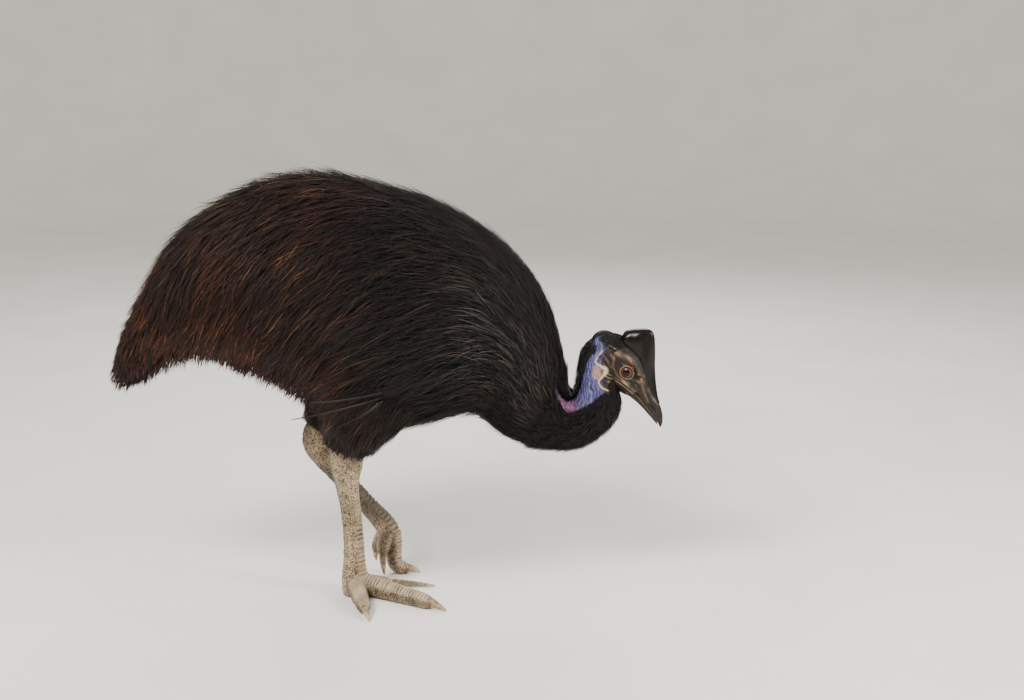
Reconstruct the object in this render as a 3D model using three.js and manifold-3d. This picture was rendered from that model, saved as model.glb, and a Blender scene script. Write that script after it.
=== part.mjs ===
// A dwarf cassowary, life size, walking slowly with its head bent down to look at the ground.
// Millimetres, +Z up, +X towards the bill, +Y to the bird's left. The floor is z = 0, and the origin
// is on the floor in the middle of the bird's length, under its back.
import * as THREE from "three";
import { mergeVertices } from "three/addons/utils/BufferGeometryUtils.js";
import Module from "manifold-3d";

const wasm = await Module();
wasm.setup();

// Driving dimensions
const GAP = 0.35; // clearance left between two nodes that touch
const SEED = 7;
const FLOOR = 0;

// The plumage outline from the tail to the nape. Each row is one section through the body: the x and z
// of its back edge, the x and z of its belly edge, its half width, and the depth of the coat there.
const SECTIONS = [
  [-519, 449, -495, 402, 16, 8],
  [-500, 520, -443, 417, 52, 30],
  [-461, 597, -384, 449, 88, 42],
  [-410, 682, -326, 458, 122, 46],
  [-351, 739, -251, 441, 152, 46],
  [-265, 791, -172, 403, 176, 44],
  [-171, 818, -110, 362, 190, 42],
  [-70, 813, -31, 322, 194, 38],
  [31, 787, 62, 326, 187, 34],
  [123, 752, 142, 344, 170, 30],
  [207, 697, 165, 346, 142, 26],
  [272, 630, 182, 336, 114, 22],
  [314, 549, 206, 316, 91, 18],
  [337, 462, 244, 293, 74, 15],
  [345, 402, 304, 280, 60, 12],
  [351, 388, 375, 284, 51, 10],
  [359, 402, 431, 326, 45, 8],
  [363, 435, 447, 368, 41, 6],
  [370, 470, 444, 390, 37, 4],
  [393, 500, 444, 404, 33, 3],
];
const TAIL_END = 0; // section numbers where the body is parted
const TAIL_TORSO = 3;
const RUMP_TORSO = 6.4;
const TORSO_NECK = 10.6;
const NECK_SPLIT = 14.2;
const NECK_HEAD = 18;
const CORE_SHARE = 0.55; // how deep the solid core lies, as a share of the coat's depth
const ROOF = -0.16; // narrows a body section towards the back
const SCUTE_RISE = 1.5; // height of the step at the end of each scute

// Legs. A row is x, y, z, the radius fore and aft and the radius across.
const THIGH_RIGHT = [
  [30, -96, 470, 84, 58],
  [-4, -97, 420, 84, 62],
  [-34, -89, 374, 68, 58],
  [-58, -77, 334, 54, 50],
  [-70, -68, 302, 44, 40],
];
const THIGH_LEFT = [
  [-20, 92, 470, 88, 56],
  [-58, 100, 412, 82, 58],
  [-96, 104, 356, 64, 50],
  [-124, 105, 316, 50, 42],
  [-138, 105, 288, 42, 36],
];
const SHANK_RIGHT = [
  [-62, -72, 336, 20, 18],
  [-72, -66, 304, 29, 25],
  [-74, -63, 274, 32, 26],
  [-75, -60, 246, 27, 22],
  [-74, -57, 214, 21, 17],
  [-69, -53, 165, 19, 15],
  [-66, -50, 110, 19, 15],
  [-66, -48, 66, 21, 18],
  [-66, -47, 36, 25, 23],
  [-62, -47, 12, 29, 26],
  [-60, -47, -12, 26, 23],
];
const SHANK_LEFT = [
  [-130, 104, 322, 20, 18],
  [-145, 105, 293, 28, 24],
  [-152, 105, 264, 30, 25],
  [-142, 101, 238, 26, 21],
  [-120, 94, 210, 21, 17],
  [-84, 83, 172, 19, 15],
  [-45, 71, 132, 19, 15],
  [-20, 64, 106, 21, 18],
  [-8, 60, 88, 21, 19],
  [-3, 58, 74, 12, 12],
];
const SHANK_SCUTES = { right: [4.6, 8.6, 10], left: [4.8, 7.9, 8] }; // first row, last row, number
// Toes from the ball of the foot to the root of the claw, and claws to their tips
const TOES = {
  right_middle: {
    path: [[-56, -48, 22, 22, 20], [-26, -62, 19, 20, 19], [12, -83, 16, 17.5, 17], [48, -103, 14, 15.5, 15],
      [76, -119, 12, 13.5, 13], [87, -125, 11, 9, 9]],
    claw: [[76, -119, 13, 10, 9], [90, -127, 12, 8.6, 7.5], [103, -135, 8, 5.4, 4.6], [114, -141, 3.4, 1.8, 1.8]],
    scutes: 7,
  },
  right_outer: {
    path: [[-62, -60, 20, 19, 19], [-55, -88, 17, 17, 17], [-47, -116, 14, 15, 15], [-39, -142, 12, 13, 13],
      [-36, -154, 11, 9, 9]],
    claw: [[-39, -143, 13, 9.5, 9], [-34, -158, 12, 8.4, 7.4], [-30, -173, 8, 5.2, 4.4], [-26, -186, 3.4, 1.7, 1.7]],
    scutes: 5,
  },
  right_inner: {
    path: [[-52, -36, 16, 17, 17], [-28, -30, 13, 15.5, 15], [-6, -26, 10.5, 12.5, 12], [6, -24, 10, 8, 8]],
    claw: [[-4, -26, 12, 8.5, 7.5], [18, -24, 11, 7.4, 6.2], [44, -22, 9, 5.6, 4.6], [68, -21, 6.4, 3.8, 3],
      [88, -20, 4, 1.3, 1.3]],
    scutes: 3,
  },
  left_middle: {
    path: [[-4, 60, 86, 20, 19], [0, 58.5, 62, 17.5, 17], [1, 57.5, 38, 15.5, 15], [5, 57, 18, 14, 14],
      [20, 56.5, 10.6, 13, 13], [30, 56, 10, 9, 9]],
    claw: [[20, 56.5, 12, 9, 8.5], [32, 56, 11, 8, 7.2], [44, 55.5, 8, 5.2, 4.6], [54, 55, 3.6, 1.7, 1.7]],
    scutes: 5,
  },
  left_inner: {
    path: [[-12, 50, 86, 15, 15], [-17, 42, 70, 13.5, 13.5], [-19, 38, 56, 11.5, 11.5], [-19, 36, 48, 8, 8]],
    claw: [[-18, 38, 56, 8.5, 8], [-19, 36, 40, 7, 6.5], [-18, 34, 22, 4.8, 4.2], [-16, 33, 5, 1.5, 1.5]],
    scutes: 3,
  },
  left_outer: {
    path: [[-14, 70, 86, 16, 15], [-26, 80, 66, 14, 14], [-34, 87, 46, 12, 12], [-37, 90, 36, 8, 8]],
    claw: [[-35, 88, 42, 8, 7.5], [-38, 91, 30, 6, 5.4], [-38, 93, 14, 1.8, 1.8]],
    scutes: 3,
  },
};

// The head has its own frame, at the middle point between the eyes.
const HEAD_AT = [464, -8, 437];
const HEAD_PITCH = 48.5; // degrees the bill points down
const HEAD_YAW = 18; // degrees the bill is turned to the bird's right
// Skull sections: distance forward, top, bottom, half width
const SKULL = [
  [-84, -4, -28, 12],
  [-75, 15, -44, 26],
  [-58, 27, -52, 34],
  [-38, 33, -54, 36.5],
  [-18, 35, -52, 36],
  [0, 33, -48, 33],
  [18, 26, -45, 28.5],
  [32, 18, -39.5, 23],
  [40, 13, -35, 20],
];
const BILL_UPPER = [
  [40, 13, -18.6, 20],
  [55, 8, -19, 16.5],
  [70, 4, -20, 13.5],
  [85, 0.5, -21.6, 10.5],
  [98, -4.5, -23, 7.4],
  [109, -11, -25, 4.6],
  [117, -18, -27, 2.6],
  [121, -24, -28.5, 1],
];
const BILL_LOWER = [
  [40, -19.3, -34.5, 15.5],
  [58, -19.7, -31, 12.5],
  [76, -21.3, -30, 9],
  [94, -23.6, -29.6, 5.6],
  [107, -25.8, -29.8, 2.8],
  [113, -27.4, -29.8, 1],
];
// Casque rulings: base point and top point (forward, up), then the half width at each
const CASQUE = [
  [-56, 22, -63, 41, 13, 9],
  [-50, 20, -53, 59, 20, 12],
  [-37, 20, -37, 77, 22, 12],
  [-18, 22, -22, 79, 21, 8],
  [4, 20, 3, 60, 18, 6],
  [24, 12, 27, 39.5, 14, 5],
  [46, 1, 51, 21, 10, 4],
  [64, -3, 71, 8.5, 6, 3],
  [76, -2, 85, 2, 3, 1.5],
];
const MOUTH_LINE = [[-26, -34], [-12, -29.5], [4, -24.5], [20, -20.8], [40, -19]];
const EYE_OUT = 22.5;
const EYE_RADIUS = 14.5;
const LID_RADIUS = 12.8;
const LID_THICK = 2.6;
const EAR = [-55, -20];
const NOSTRIL = [86, -10];

// Wings: a short arm pressed to the flank, and its bare quills
const WING_ARM = [
  [112, -146, 480, 8, 6],
  [84, -161, 468, 16, 9],
  [46, -172, 450, 20, 9.5],
  [10, -176, 434, 16, 8],
  [-8, -177, 426, 8, 6],
];
// Quill root, middle and tip, on the right wing
const QUILLS = [
  [[0, -180, 424], [-62, -190, 407], [-158, -168, 381]],
  [[6, -182, 436], [-48, -194, 426], [-122, -188, 418]],
  [[8, -180, 420], [-32, -186, 392], [-84, -170, 366]],
];
const QUILL_RADIUS = 2.6;

// Coat locks. Each patch covers a stretch of the body between two section numbers with rows of locks.
const EDGE_GROW = 9; // a lock's thin edge is grown sideways by this many times its top
const LOCK_SINK = 9; // how far a lock's root lies under the core's surface
const LOCK_SHAPE = [ // along a lock: place, width and ridge height as shares of the largest
  [0, 0.62, 0.7],
  [0.24, 1, 1],
  [0.52, 0.94, 0.9],
  [0.78, 0.62, 0.55],
];
const PATCHES = {
  tail: { from: 2.1, to: 1.25, rows: 2, across: 88, length: 118, width: 58, ridge: 6, belly: 2.9 },
  rump: { from: 5.95, to: 3.4, rows: 4, across: 92, length: 178, width: 70, ridge: 7, belly: 2.6 },
  torso: { from: 10.5, to: 6.65, rows: 5, across: 92, length: 188, width: 72, ridge: 7, belly: 2.7 },
  neck_lower: { from: 13.8, to: 11.2, rows: 3, across: 78, length: 112, width: 58, ridge: 4, belly: 2.95 },
};
const THIGH_LOCKS = { rows: [1.5, 2.7], across: 82, length: 84, width: 52, ridge: 5, depth: 13 };

const smooth = (a, b, x) => {
  const t = Math.min(Math.max((x - a) / (b - a), 0), 1);
  return t * t * (3 - 2 * t);
};

// The row of a table at a fractional row number, on a smooth curve through its rows.
function between(rows, s) {
  const last = rows.length - 1;
  const t = Math.min(Math.max(s, 0), last);
  const i = Math.min(Math.floor(t), last - 1);
  const f = t - i;
  const a = rows[Math.max(i - 1, 0)];
  const b = rows[i];
  const c = rows[i + 1];
  const d = rows[Math.min(i + 2, last)];
  return b.map(
    (_, k) =>
      0.5 *
      (2 * b[k] +
        (c[k] - a[k]) * f +
        (2 * a[k] - 5 * b[k] + 4 * c[k] - d[k]) * f * f +
        (3 * b[k] - a[k] - 3 * c[k] + d[k]) * f * f * f),
  );
}

// Random draws, the same on every run
let state = SEED;
function draw(low, high) {
  state = (state * 1664525 + 1013904223) % 4294967296;
  return low + ((high - low) * state) / 4294967296;
}

// Solids
function solid(geometry) {
  const g = geometry.clone();
  g.deleteAttribute("normal");
  g.deleteAttribute("uv");
  const m = mergeVertices(g, 1e-4);
  return new wasm.Manifold(
    new wasm.Mesh({
      numProp: 3,
      vertProperties: new Float32Array(m.attributes.position.array),
      triVerts: new Uint32Array(m.index.array),
    }),
  );
}

function geometryOf(made) {
  const mesh = made.getMesh();
  return new THREE.BufferGeometry()
    .setAttribute("position", new THREE.BufferAttribute(new Float32Array(mesh.vertProperties), 3))
    .setIndex(new THREE.BufferAttribute(new Uint32Array(mesh.triVerts), 1));
}

const fuse = (pieces) => wasm.Manifold.union(pieces);

function largest(made) {
  const bodies = made.decompose();
  const volumes = bodies.map((b) => b.volume());
  return bodies[volumes.indexOf(Math.max(...volumes))];
}

// A closed tube through rings of points, its first and last ring closed by a fan.
function loft(rings, tip) {
  const n = rings[0].length;
  const points = rings.flat();
  const middle = (ring) =>
    ring.reduce((sum, p) => sum.add(p), new THREE.Vector3()).divideScalar(n);
  const first = points.push(middle(rings[0])) - 1;
  const end = points.push(tip ?? middle(rings[rings.length - 1])) - 1;
  const faces = [];
  for (let k = 0; k < n; k++) {
    const k2 = (k + 1) % n;
    faces.push([first, k2, k]);
    for (let r = 0; r < rings.length - 1; r++) {
      const a = r * n + k;
      const b = r * n + k2;
      faces.push([a, b, b + n], [a, b + n, a + n]);
    }
    const base = (rings.length - 1) * n;
    faces.push([end, base + k, base + k2]);
  }
  const closed = (list) =>
    solid(new THREE.BufferGeometry().setFromPoints(points).setIndex(list.flat()));
  const made = closed(faces);
  return made.volume() > 0 ? made : closed(faces.map(([a, b, c]) => [a, c, b]));
}

function ellipsoid(centre, radii, across = 10, down = 6) {
  const g = new THREE.SphereGeometry(1, across, down);
  g.scale(...radii);
  g.translate(...centre);
  return solid(g);
}

// Everything on the far side of a plane, as a large box.
function halfSpace(point, normal) {
  const size = 3000;
  const g = new THREE.BoxGeometry(size, size, size);
  g.translate(0, 0, size / 2);
  g.applyQuaternion(new THREE.Quaternion().setFromUnitVectors(new THREE.Vector3(0, 0, 1), normal));
  g.translate(point.x, point.y, point.z);
  return solid(g);
}

const belowFloor = halfSpace(new THREE.Vector3(0, 0, FLOOR), new THREE.Vector3(0, 0, -1));

// The body's surface, from the tail to the nape. The turn is 0 at the back and PI at the belly, and
// positive to the bird's left. The depth is taken inwards from the outside of the coat.
function bodyPoint(s, turn, depth) {
  const [tx, tz, bx, bz, half] = between(SECTIONS, s);
  const hx = (tx - bx) / 2;
  const hz = (tz - bz) / 2;
  const high = Math.hypot(hx, hz);
  const inset = Math.min(depth, 0.62 * Math.min(high, half));
  const tall = (high - inset) / high;
  const roof = ROOF * (1 - smooth(9, 13, s));
  return new THREE.Vector3(
    (tx + bx) / 2 + hx * Math.cos(turn) * tall,
    (half - inset) * Math.sin(turn) * (1 + roof * Math.cos(turn)),
    (tz + bz) / 2 + hz * Math.cos(turn) * tall,
  );
}
const coatDepth = (s) => between(SECTIONS, s)[5];

// A leg, toe, claw, quill or arm: an oval tube through the rows of a table. The turn is 0 at the back
// of a leg and under a toe.
function limbPoint(rows, s, turn, depth) {
  const [x, y, z, fore, across] = between(rows, s);
  const step = 0.02;
  const a = between(rows, s - step);
  const b = between(rows, s + step);
  const along = new THREE.Vector3(b[0] - a[0], b[1] - a[1], b[2] - a[2]).normalize();
  const level =
    Math.abs(along.z) > 0.6
      ? new THREE.Vector3(0, 1, 0)
      : new THREE.Vector3(-along.y, along.x, 0);
  const side = level.addScaledVector(along, -level.dot(along)).normalize();
  const front = new THREE.Vector3().crossVectors(side, along);
  return new THREE.Vector3(x, y, z)
    .addScaledVector(front, (fore - depth) * Math.cos(turn))
    .addScaledVector(side, (across - depth) * Math.sin(turn));
}

function limb(rows, rings, sides, grow = 0) {
  const last = rows.length - 1;
  return loft(
    Array.from({ length: rings + 1 }, (_, r) =>
      Array.from({ length: sides }, (_, k) =>
        limbPoint(rows, (last * r) / rings, (2 * Math.PI * k) / sides, -grow),
      ),
    ),
  );
}

// The same tube with plain rings up to a row number, then raised scutes on its front: each scute
// slopes outwards along the limb and ends in a step.
function scutedLimb(rows, [from, to, number], sides, plain, grow = 0) {
  const last = rows.length - 1;
  const stations = Array.from({ length: plain }, (_, r) => [(from * r) / plain, 0]);
  for (let i = 0; i < number; i++) {
    const start = from + ((to - from) * i) / number;
    const pitch = (to - from) / number;
    stations.push([start, 0], [start + 0.86 * pitch, SCUTE_RISE]);
  }
  stations.push([to, 0]);
  for (let s = to + 0.5; s < last; s += 0.5) stations.push([s, 0]);
  if (to < last) stations.push([last, 0]);
  return loft(
    stations.map(([s, rise]) =>
      Array.from({ length: sides }, (_, k) => {
        const turn = (2 * Math.PI * (k + 0.5)) / sides;
        const front = Math.max(0, -Math.cos(turn)) ** 0.7;
        return limbPoint(rows, s, turn, -grow - rise * front);
      }),
    ),
  );
}

// A stretch of the body's core between two section numbers, its end faces set back by half the gap.
function bodyCore(from, to, rings, sides, grow = 0) {
  const list = Array.from({ length: rings + 1 }, (_, r) => {
    const s = from + ((to - from) * r) / rings;
    const depth = CORE_SHARE * coatDepth(s) - grow;
    return Array.from({ length: sides }, (_, k) => bodyPoint(s, (2 * Math.PI * k) / sides, depth));
  });
  const shift = (ring, s, sign) => {
    const [tx, tz, bx, bz] = between(SECTIONS, s);
    const normal = new THREE.Vector3(tz - bz, 0, bx - tx).normalize();
    ring.forEach((p) => p.addScaledVector(normal, sign * (GAP / 2 - grow)));
  };
  shift(list[0], from, 1);
  shift(list[rings], to, -1);
  return loft(list);
}

// One lock of long feathers on a surface. It starts at a place and runs along its first number in the
// sense of `way`, turned aside by `droop`; its root is sunk and its tip comes to the outside.
function lock(point, place, way, droop, rootDepth, { length, width, ridge, lift = 0, grow = 0 }) {
  let [s, turn] = place;
  const step = length / 8;
  const stations = [];
  const e = 0.01;
  for (let i = 0; i <= 8; i++) {
    const here = point(s, turn, 0);
    const perS = Math.max(point(s + e, turn, 0).distanceTo(here) / e, 30);
    const perTurn = point(s, turn + e, 0).distanceTo(here) / e;
    const angle = droop(s, turn);
    stations.push({ s, turn, perS, perTurn, angle });
    s += (way * step * Math.cos(angle)) / perS;
    turn += (step * Math.sin(angle)) / perTurn;
  }
  const at = (f) => {
    const i = Math.min(Math.floor(f * 8), 7);
    const t = f * 8 - i;
    const [a, b] = [stations[i], stations[i + 1]];
    return Object.fromEntries(Object.keys(a).map((key) => [key, a[key] + (b[key] - a[key]) * t]));
  };
  const rings = LOCK_SHAPE.map(([f, wide, high]) => {
    const { s, turn, perS, perTurn, angle } = at(f);
    const depth = rootDepth * (1 - f) - lift * f - grow;
    const half = (width * wide) / 2 + EDGE_GROW * grow;
    const ds = (way * half * Math.sin(angle)) / perS;
    const dt = (half * Math.cos(angle)) / perTurn;
    return [
      point(s + ds, turn - dt, depth + ridge * high * 0.45 + 2 * grow),
      point(s, turn, depth - ridge * high * 0.55 - 0.5 * grow),
      point(s - ds, turn + dt, depth + ridge * high * 0.45 + 2 * grow),
    ];
  });
  const end = at(1);
  const tip = point(
    end.s + (way * 4 * grow * Math.cos(end.angle)) / end.perS,
    end.turn + (4 * grow * Math.sin(end.angle)) / end.perTurn,
    -lift,
  );
  return loft(rings, tip);
}

// Feathers on the flank and the rump hang down as well as back.
const bodyDroop = (s, turn) =>
  Math.sign(turn) * Math.sin(Math.abs(turn)) * (0.62 - 0.5 * smooth(4, 12, s));

// The rows of locks of one patch, on both sides of the body.
function patchLocks({ from, to, rows, across, length, width, ridge, belly }) {
  const list = [];
  for (let r = 0; r < rows; r++) {
    const s = from + ((to - from) * r) / (rows - 1);
    const rootDepth = CORE_SHARE * coatDepth(s) + LOCK_SINK;
    const round = Array.from({ length: 60 }, (_, k) => bodyPoint(s, (belly * (k + 0.5)) / 60, 0));
    const half = round.slice(1).reduce((sum, p, k) => sum + p.distanceTo(round[k]), 0);
    const number = Math.max(2, Math.round(half / across));
    for (const side of [-1, 1]) {
      for (let k = 0; k < number; k++) {
        const turn = side * (belly * (k + (r % 2 ? 0.5 : 0.98) + draw(-0.08, 0.08))) / number;
        if (Math.abs(turn) > belly + 0.12) continue;
        const scale = draw(0.9, 1.12);
        const size = { length: length * scale, width: width * draw(0.9, 1.04), ridge, lift: draw(0, 3) };
        const lean = draw(-0.07, 0.07);
        list.push({
          place: [s + draw(-0.06, 0.06), turn],
          droop: (a, b) => bodyDroop(a, b) + lean,
          rootDepth,
          size,
        });
      }
    }
  }
  return list;
}

const growLocks = (list, point, way, grow = 0) =>
  list.map(({ place, droop, rootDepth, size }) =>
    lock(point, place, way, droop, rootDepth, { ...size, grow }),
  );

// Head parts, built in the head's own frame
const headMatrix = new THREE.Matrix4()
  .makeRotationFromEuler(
    new THREE.Euler(
      0,
      THREE.MathUtils.degToRad(HEAD_PITCH),
      THREE.MathUtils.degToRad(-HEAD_YAW),
      "ZYX",
    ),
  )
  .setPosition(...HEAD_AT);
const fromHead = (x, y, z) => new THREE.Vector3(x, y, z).applyMatrix4(headMatrix);

function headLoft(rows, rings, sides, grow = 0) {
  const last = rows.length - 1;
  return loft(
    Array.from({ length: rings + 1 }, (_, r) => {
      const [x, top, bottom, half] = between(rows, (last * r) / rings);
      const end = r === 0 ? -grow : r === rings ? grow : 0;
      return Array.from({ length: sides }, (_, k) => {
        const a = (2 * Math.PI * k) / sides;
        return fromHead(
          x + end,
          (half + grow) * Math.sin(a),
          (top + bottom) / 2 + ((top - bottom) / 2 + grow) * Math.cos(a),
        );
      });
    }),
  );
}

function casqueLoft(rings, sides) {
  const last = CASQUE.length - 1;
  return loft(
    Array.from({ length: rings + 1 }, (_, r) => {
      const [bx, bz, tx, tz, baseHalf, topHalf] = between(CASQUE, (last * r) / rings);
      return Array.from({ length: sides }, (_, k) => {
        const a = (2 * Math.PI * k) / sides;
        const up = (1 + Math.cos(a)) / 2;
        const half = baseHalf + (topHalf - baseHalf) * up;
        const square = Math.sign(Math.sin(a)) * Math.abs(Math.sin(a)) ** 0.7;
        return fromHead(bx + (tx - bx) * up, half * square, bz + (tz - bz) * up);
      });
    }),
  );
}

const skullHalf = (x) => {
  const i = SKULL.findIndex((row) => row[0] >= x);
  const [a, b] = [SKULL[i - 1], SKULL[i]];
  return a[3] + ((b[3] - a[3]) * (x - a[0])) / (b[0] - a[0]);
};

// The skull's side at a place given forward and up, a little in or out.
function skullSide(x, z, flip, out) {
  const i = SKULL.findIndex((row) => row[0] >= x);
  const t = (x - SKULL[i - 1][0]) / (SKULL[i][0] - SKULL[i - 1][0]);
  const [top, bottom] = [1, 2].map((c) => SKULL[i - 1][c] + (SKULL[i][c] - SKULL[i - 1][c]) * t);
  const up = (z - (top + bottom) / 2) / ((top - bottom) / 2);
  return fromHead(x, flip * (skullHalf(x) * Math.sqrt(Math.max(0.1, 1 - up * up)) + out), z);
}

// A thin four-sided cord through points
function cord(points, radius, across) {
  const rows = points.map((p) => [p.x, p.y, p.z]);
  const last = rows.length - 1;
  return loft(
    rows.map((_, i) => {
      const along = points[Math.min(i + 1, last)].clone().sub(points[Math.max(i - 1, 0)]).normalize();
      const side = new THREE.Vector3().crossVectors(along, across).normalize();
      return [0, 1, 2, 3].map((k) =>
        points[i]
          .clone()
          .addScaledVector(side, radius * Math.cos((k * Math.PI) / 2))
          .addScaledVector(across, radius * Math.sin((k * Math.PI) / 2)),
      );
    }),
  );
}

const materials = {
  feather: new THREE.MeshStandardMaterial({ color: 0x1d1613, roughness: 0.55 }),
  skin: new THREE.MeshStandardMaterial({ color: 0x3a2f2c, roughness: 0.6 }),
  horn: new THREE.MeshStandardMaterial({ color: 0x1b1412, roughness: 0.25 }),
  scale: new THREE.MeshStandardMaterial({ color: 0xb7a585, roughness: 0.6 }),
  claw: new THREE.MeshStandardMaterial({ color: 0xc9b99a, roughness: 0.35 }),
  eye: new THREE.MeshStandardMaterial({ color: 0x8a3b1c, roughness: 0.1 }),
};
const bird = new THREE.Group();
function add(name, made, material) {
  const mesh = new THREE.Mesh(geometryOf(largest(made)), material);
  mesh.name = name;
  bird.add(mesh);
}

const mirrorRows = (rows) => rows.map(([x, y, z, ...rest]) => [x, -y, z, ...rest]);

// Wings: a short arm pressed into the coat of the flank, and its bare quills lying outside it
function wing(flip, grow = 0) {
  const turned = (rows) => (flip > 0 ? rows : mirrorRows(rows));
  const quills = QUILLS.map(([root, middle, tip]) => {
    const rows = [
      [...root, QUILL_RADIUS, QUILL_RADIUS],
      [...middle, QUILL_RADIUS * 0.9, QUILL_RADIUS * 0.9],
      [...tip, 0.7, 0.7],
    ];
    return limb(turned(rows), 4, 4, grow);
  });
  return fuse([limb(turned(WING_ARM), 5, 8, grow), ...quills]);
}
const wings = { right: wing(1), left: wing(-1) };
const wingsFat = fuse([wing(1, GAP), wing(-1, GAP)]);

// Body. A lock that would run under a wing is left out.
const clearOfWings = ({ place, droop, rootDepth, size }) =>
  lock(bodyPoint, place, -1, droop, rootDepth, size).intersect(wingsFat).isEmpty();
const coated = (name, from, to, rings) => {
  const locks = patchLocks(PATCHES[name]).filter(clearOfWings);
  return (grow) =>
    fuse([bodyCore(from, to, rings, 20, grow), ...growLocks(locks, bodyPoint, -1, grow)]);
};
const torsoOf = coated("torso", RUMP_TORSO, TORSO_NECK, 8);
const rumpOf = coated("rump", TAIL_TORSO, RUMP_TORSO, 6);
const torso = torsoOf(0);
const torsoFat = fuse([torsoOf(GAP), torso]);
const rump = rumpOf(0).subtract(torsoFat);
const rumpFat = fuse([rumpOf(GAP), rump]);
const tail = coated("tail", TAIL_END, TAIL_TORSO, 6)(0);
const neckLower = coated("neck_lower", TORSO_NECK, NECK_SPLIT, 8)(0);
const bodyFat = fuse([torsoFat, rumpFat]);
add("torso", torso, materials.feather);
add("rump", rump, materials.feather);
add("tail", tail.subtract(rumpFat), materials.feather);
add("neck_lower", neckLower.subtract(torsoFat), materials.feather);
for (const [side, made] of Object.entries(wings))
  add("wing_" + side, made.subtract(bodyFat), materials.feather);

// Legs
function thighLocks(rows) {
  const list = [];
  THIGH_LOCKS.rows.forEach((s, r) => {
    const round = 2 * Math.PI * ((between(rows, s)[3] + between(rows, s)[4]) / 2);
    const number = Math.round(round / THIGH_LOCKS.across);
    for (let k = 0; k < number; k++) {
      list.push({
        place: [s, (2 * Math.PI * (k + r / 2 + draw(-0.08, 0.08))) / number],
        droop: () => draw(-0.12, 0.12),
        rootDepth: THIGH_LOCKS.depth + LOCK_SINK,
        size: { ...THIGH_LOCKS, length: THIGH_LOCKS.length * draw(0.85, 1.1) },
      });
    }
  });
  return list;
}
const thighSurface = (rows) => (s, turn, depth) => {
  const last = rows.length - 1;
  const over = Math.max(0, s - last);
  const end = between(rows, last);
  const before = between(rows, last - 0.2);
  const point = limbPoint(rows, Math.min(s, last - 0.01), turn, depth);
  return point.add(new THREE.Vector3(...[0, 1, 2].map((k) => (end[k] - before[k]) * 5 * over)));
};
for (const [side, thighRows, shankRows] of [
  ["right", THIGH_RIGHT, SHANK_RIGHT],
  ["left", THIGH_LEFT, SHANK_LEFT],
]) {
  const shankOf = (grow) => scutedLimb(shankRows, SHANK_SCUTES[side], 10, 8, grow);
  const shankFat = shankOf(GAP);
  const core = thighRows.map(([x, y, z, fore, across]) => [
    x, y, z, fore - THIGH_LOCKS.depth, across - THIGH_LOCKS.depth,
  ]);
  const locks = growLocks(thighLocks(thighRows), thighSurface(thighRows), 1);
  const thigh = fuse([limb(core, 7, 12), ...locks]);
  add("thigh_" + side, thigh.subtract(fuse([bodyFat, shankFat])), materials.feather);
  add("shank_" + side, shankOf(0).subtract(belowFloor), materials.scale);
  let taken = shankFat;
  for (const toe of ["middle", "outer", "inner"]) {
    const { path, claw, scutes } = TOES[side + "_" + toe];
    const toeOf = (grow) => scutedLimb(path, [0.4, path.length - 1.5, scutes], 8, 1, grow);
    const clawSolid = limb(claw, 6, 6).subtract(toeOf(GAP)).subtract(belowFloor);
    add("toe_" + side + "_" + toe, toeOf(0).subtract(taken).subtract(belowFloor), materials.scale);
    add("claw_" + side + "_" + toe, clawSolid, materials.claw);
    taken = fuse([taken, toeOf(GAP)]);
  }
}

// Neck and head
const [nx, nz, tx, tz] = between(SECTIONS, NECK_HEAD);
const collarNormal = new THREE.Vector3(nz - tz, 0, tx - nx).normalize();
const collarPoint = new THREE.Vector3(nx, 0, nz);
add("neck_upper", bodyCore(NECK_SPLIT, NECK_HEAD, 9, 18), materials.skin);
const neckSide = halfSpace(
  collarPoint.clone().addScaledVector(collarNormal, GAP / 2),
  collarNormal.clone().negate(),
);
const collar = (grow) => bodyCore(NECK_HEAD - 1, SECTIONS.length - 1, 3, 18, grow);
const raised = [];
const hollow = [];
const headSide = new THREE.Vector3(0, 1, 0).transformDirection(headMatrix);
for (const [side, flip] of [["right", -1], ["left", 1]]) {
  const lid = new THREE.TorusGeometry(LID_RADIUS, LID_THICK, 4, 11);
  lid.scale(1.06, 0.96, 1);
  lid.rotateX(Math.PI / 2);
  lid.translate(0, flip * (skullHalf(0) - 0.5), 0);
  lid.applyMatrix4(headMatrix);
  raised.push(solid(lid));
  const eyeAt = fromHead(0, flip * EYE_OUT, 0).toArray();
  hollow.push(ellipsoid(eyeAt, Array(3).fill(EYE_RADIUS + GAP), 10, 7));
  add("eye_" + side, ellipsoid(eyeAt, Array(3).fill(EYE_RADIUS), 10, 7), materials.eye);
  hollow.push(
    cord(MOUTH_LINE.map(([x, z]) => skullSide(x, z, flip, 0)), 1.7, headSide),
    ellipsoid(skullSide(EAR[0], EAR[1], flip, 0).toArray(), [6, 6, 4], 6, 4),
  );
}
const head = fuse([headLoft(SKULL, 8, 12), collar(0), ...raised]);
add("head", head.subtract(fuse([neckSide, ...hollow])), materials.skin);
const ahead = (rows) => rows.map(([x, ...rest]) => [x + GAP, ...rest]);
const nostrils = fuse(
  [-1, 1].map((flip) =>
    ellipsoid(fromHead(NOSTRIL[0], flip * 9.4, NOSTRIL[1]).toArray(), [3.4, 2.6, 2.6], 8, 5),
  ),
);
add("bill_upper", headLoft(ahead(BILL_UPPER), 9, 12).subtract(nostrils), materials.horn);
add("bill_lower", headLoft(ahead(BILL_LOWER), 7, 10), materials.horn);
const underCasque = fuse([
  headLoft(SKULL, 8, 12, GAP),
  headLoft(ahead(BILL_UPPER), 9, 12, GAP),
  collar(GAP),
]);
add("casque", casqueLoft(10, 12).subtract(underCasque), materials.horn);

export default bird;
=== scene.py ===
"""Cassowary walking with its head low: skin, horn, eyes, claws and a full coat of hair-like plumes.

The lengths here are millimetres unless a name says otherwise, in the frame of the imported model.
"""

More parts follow.
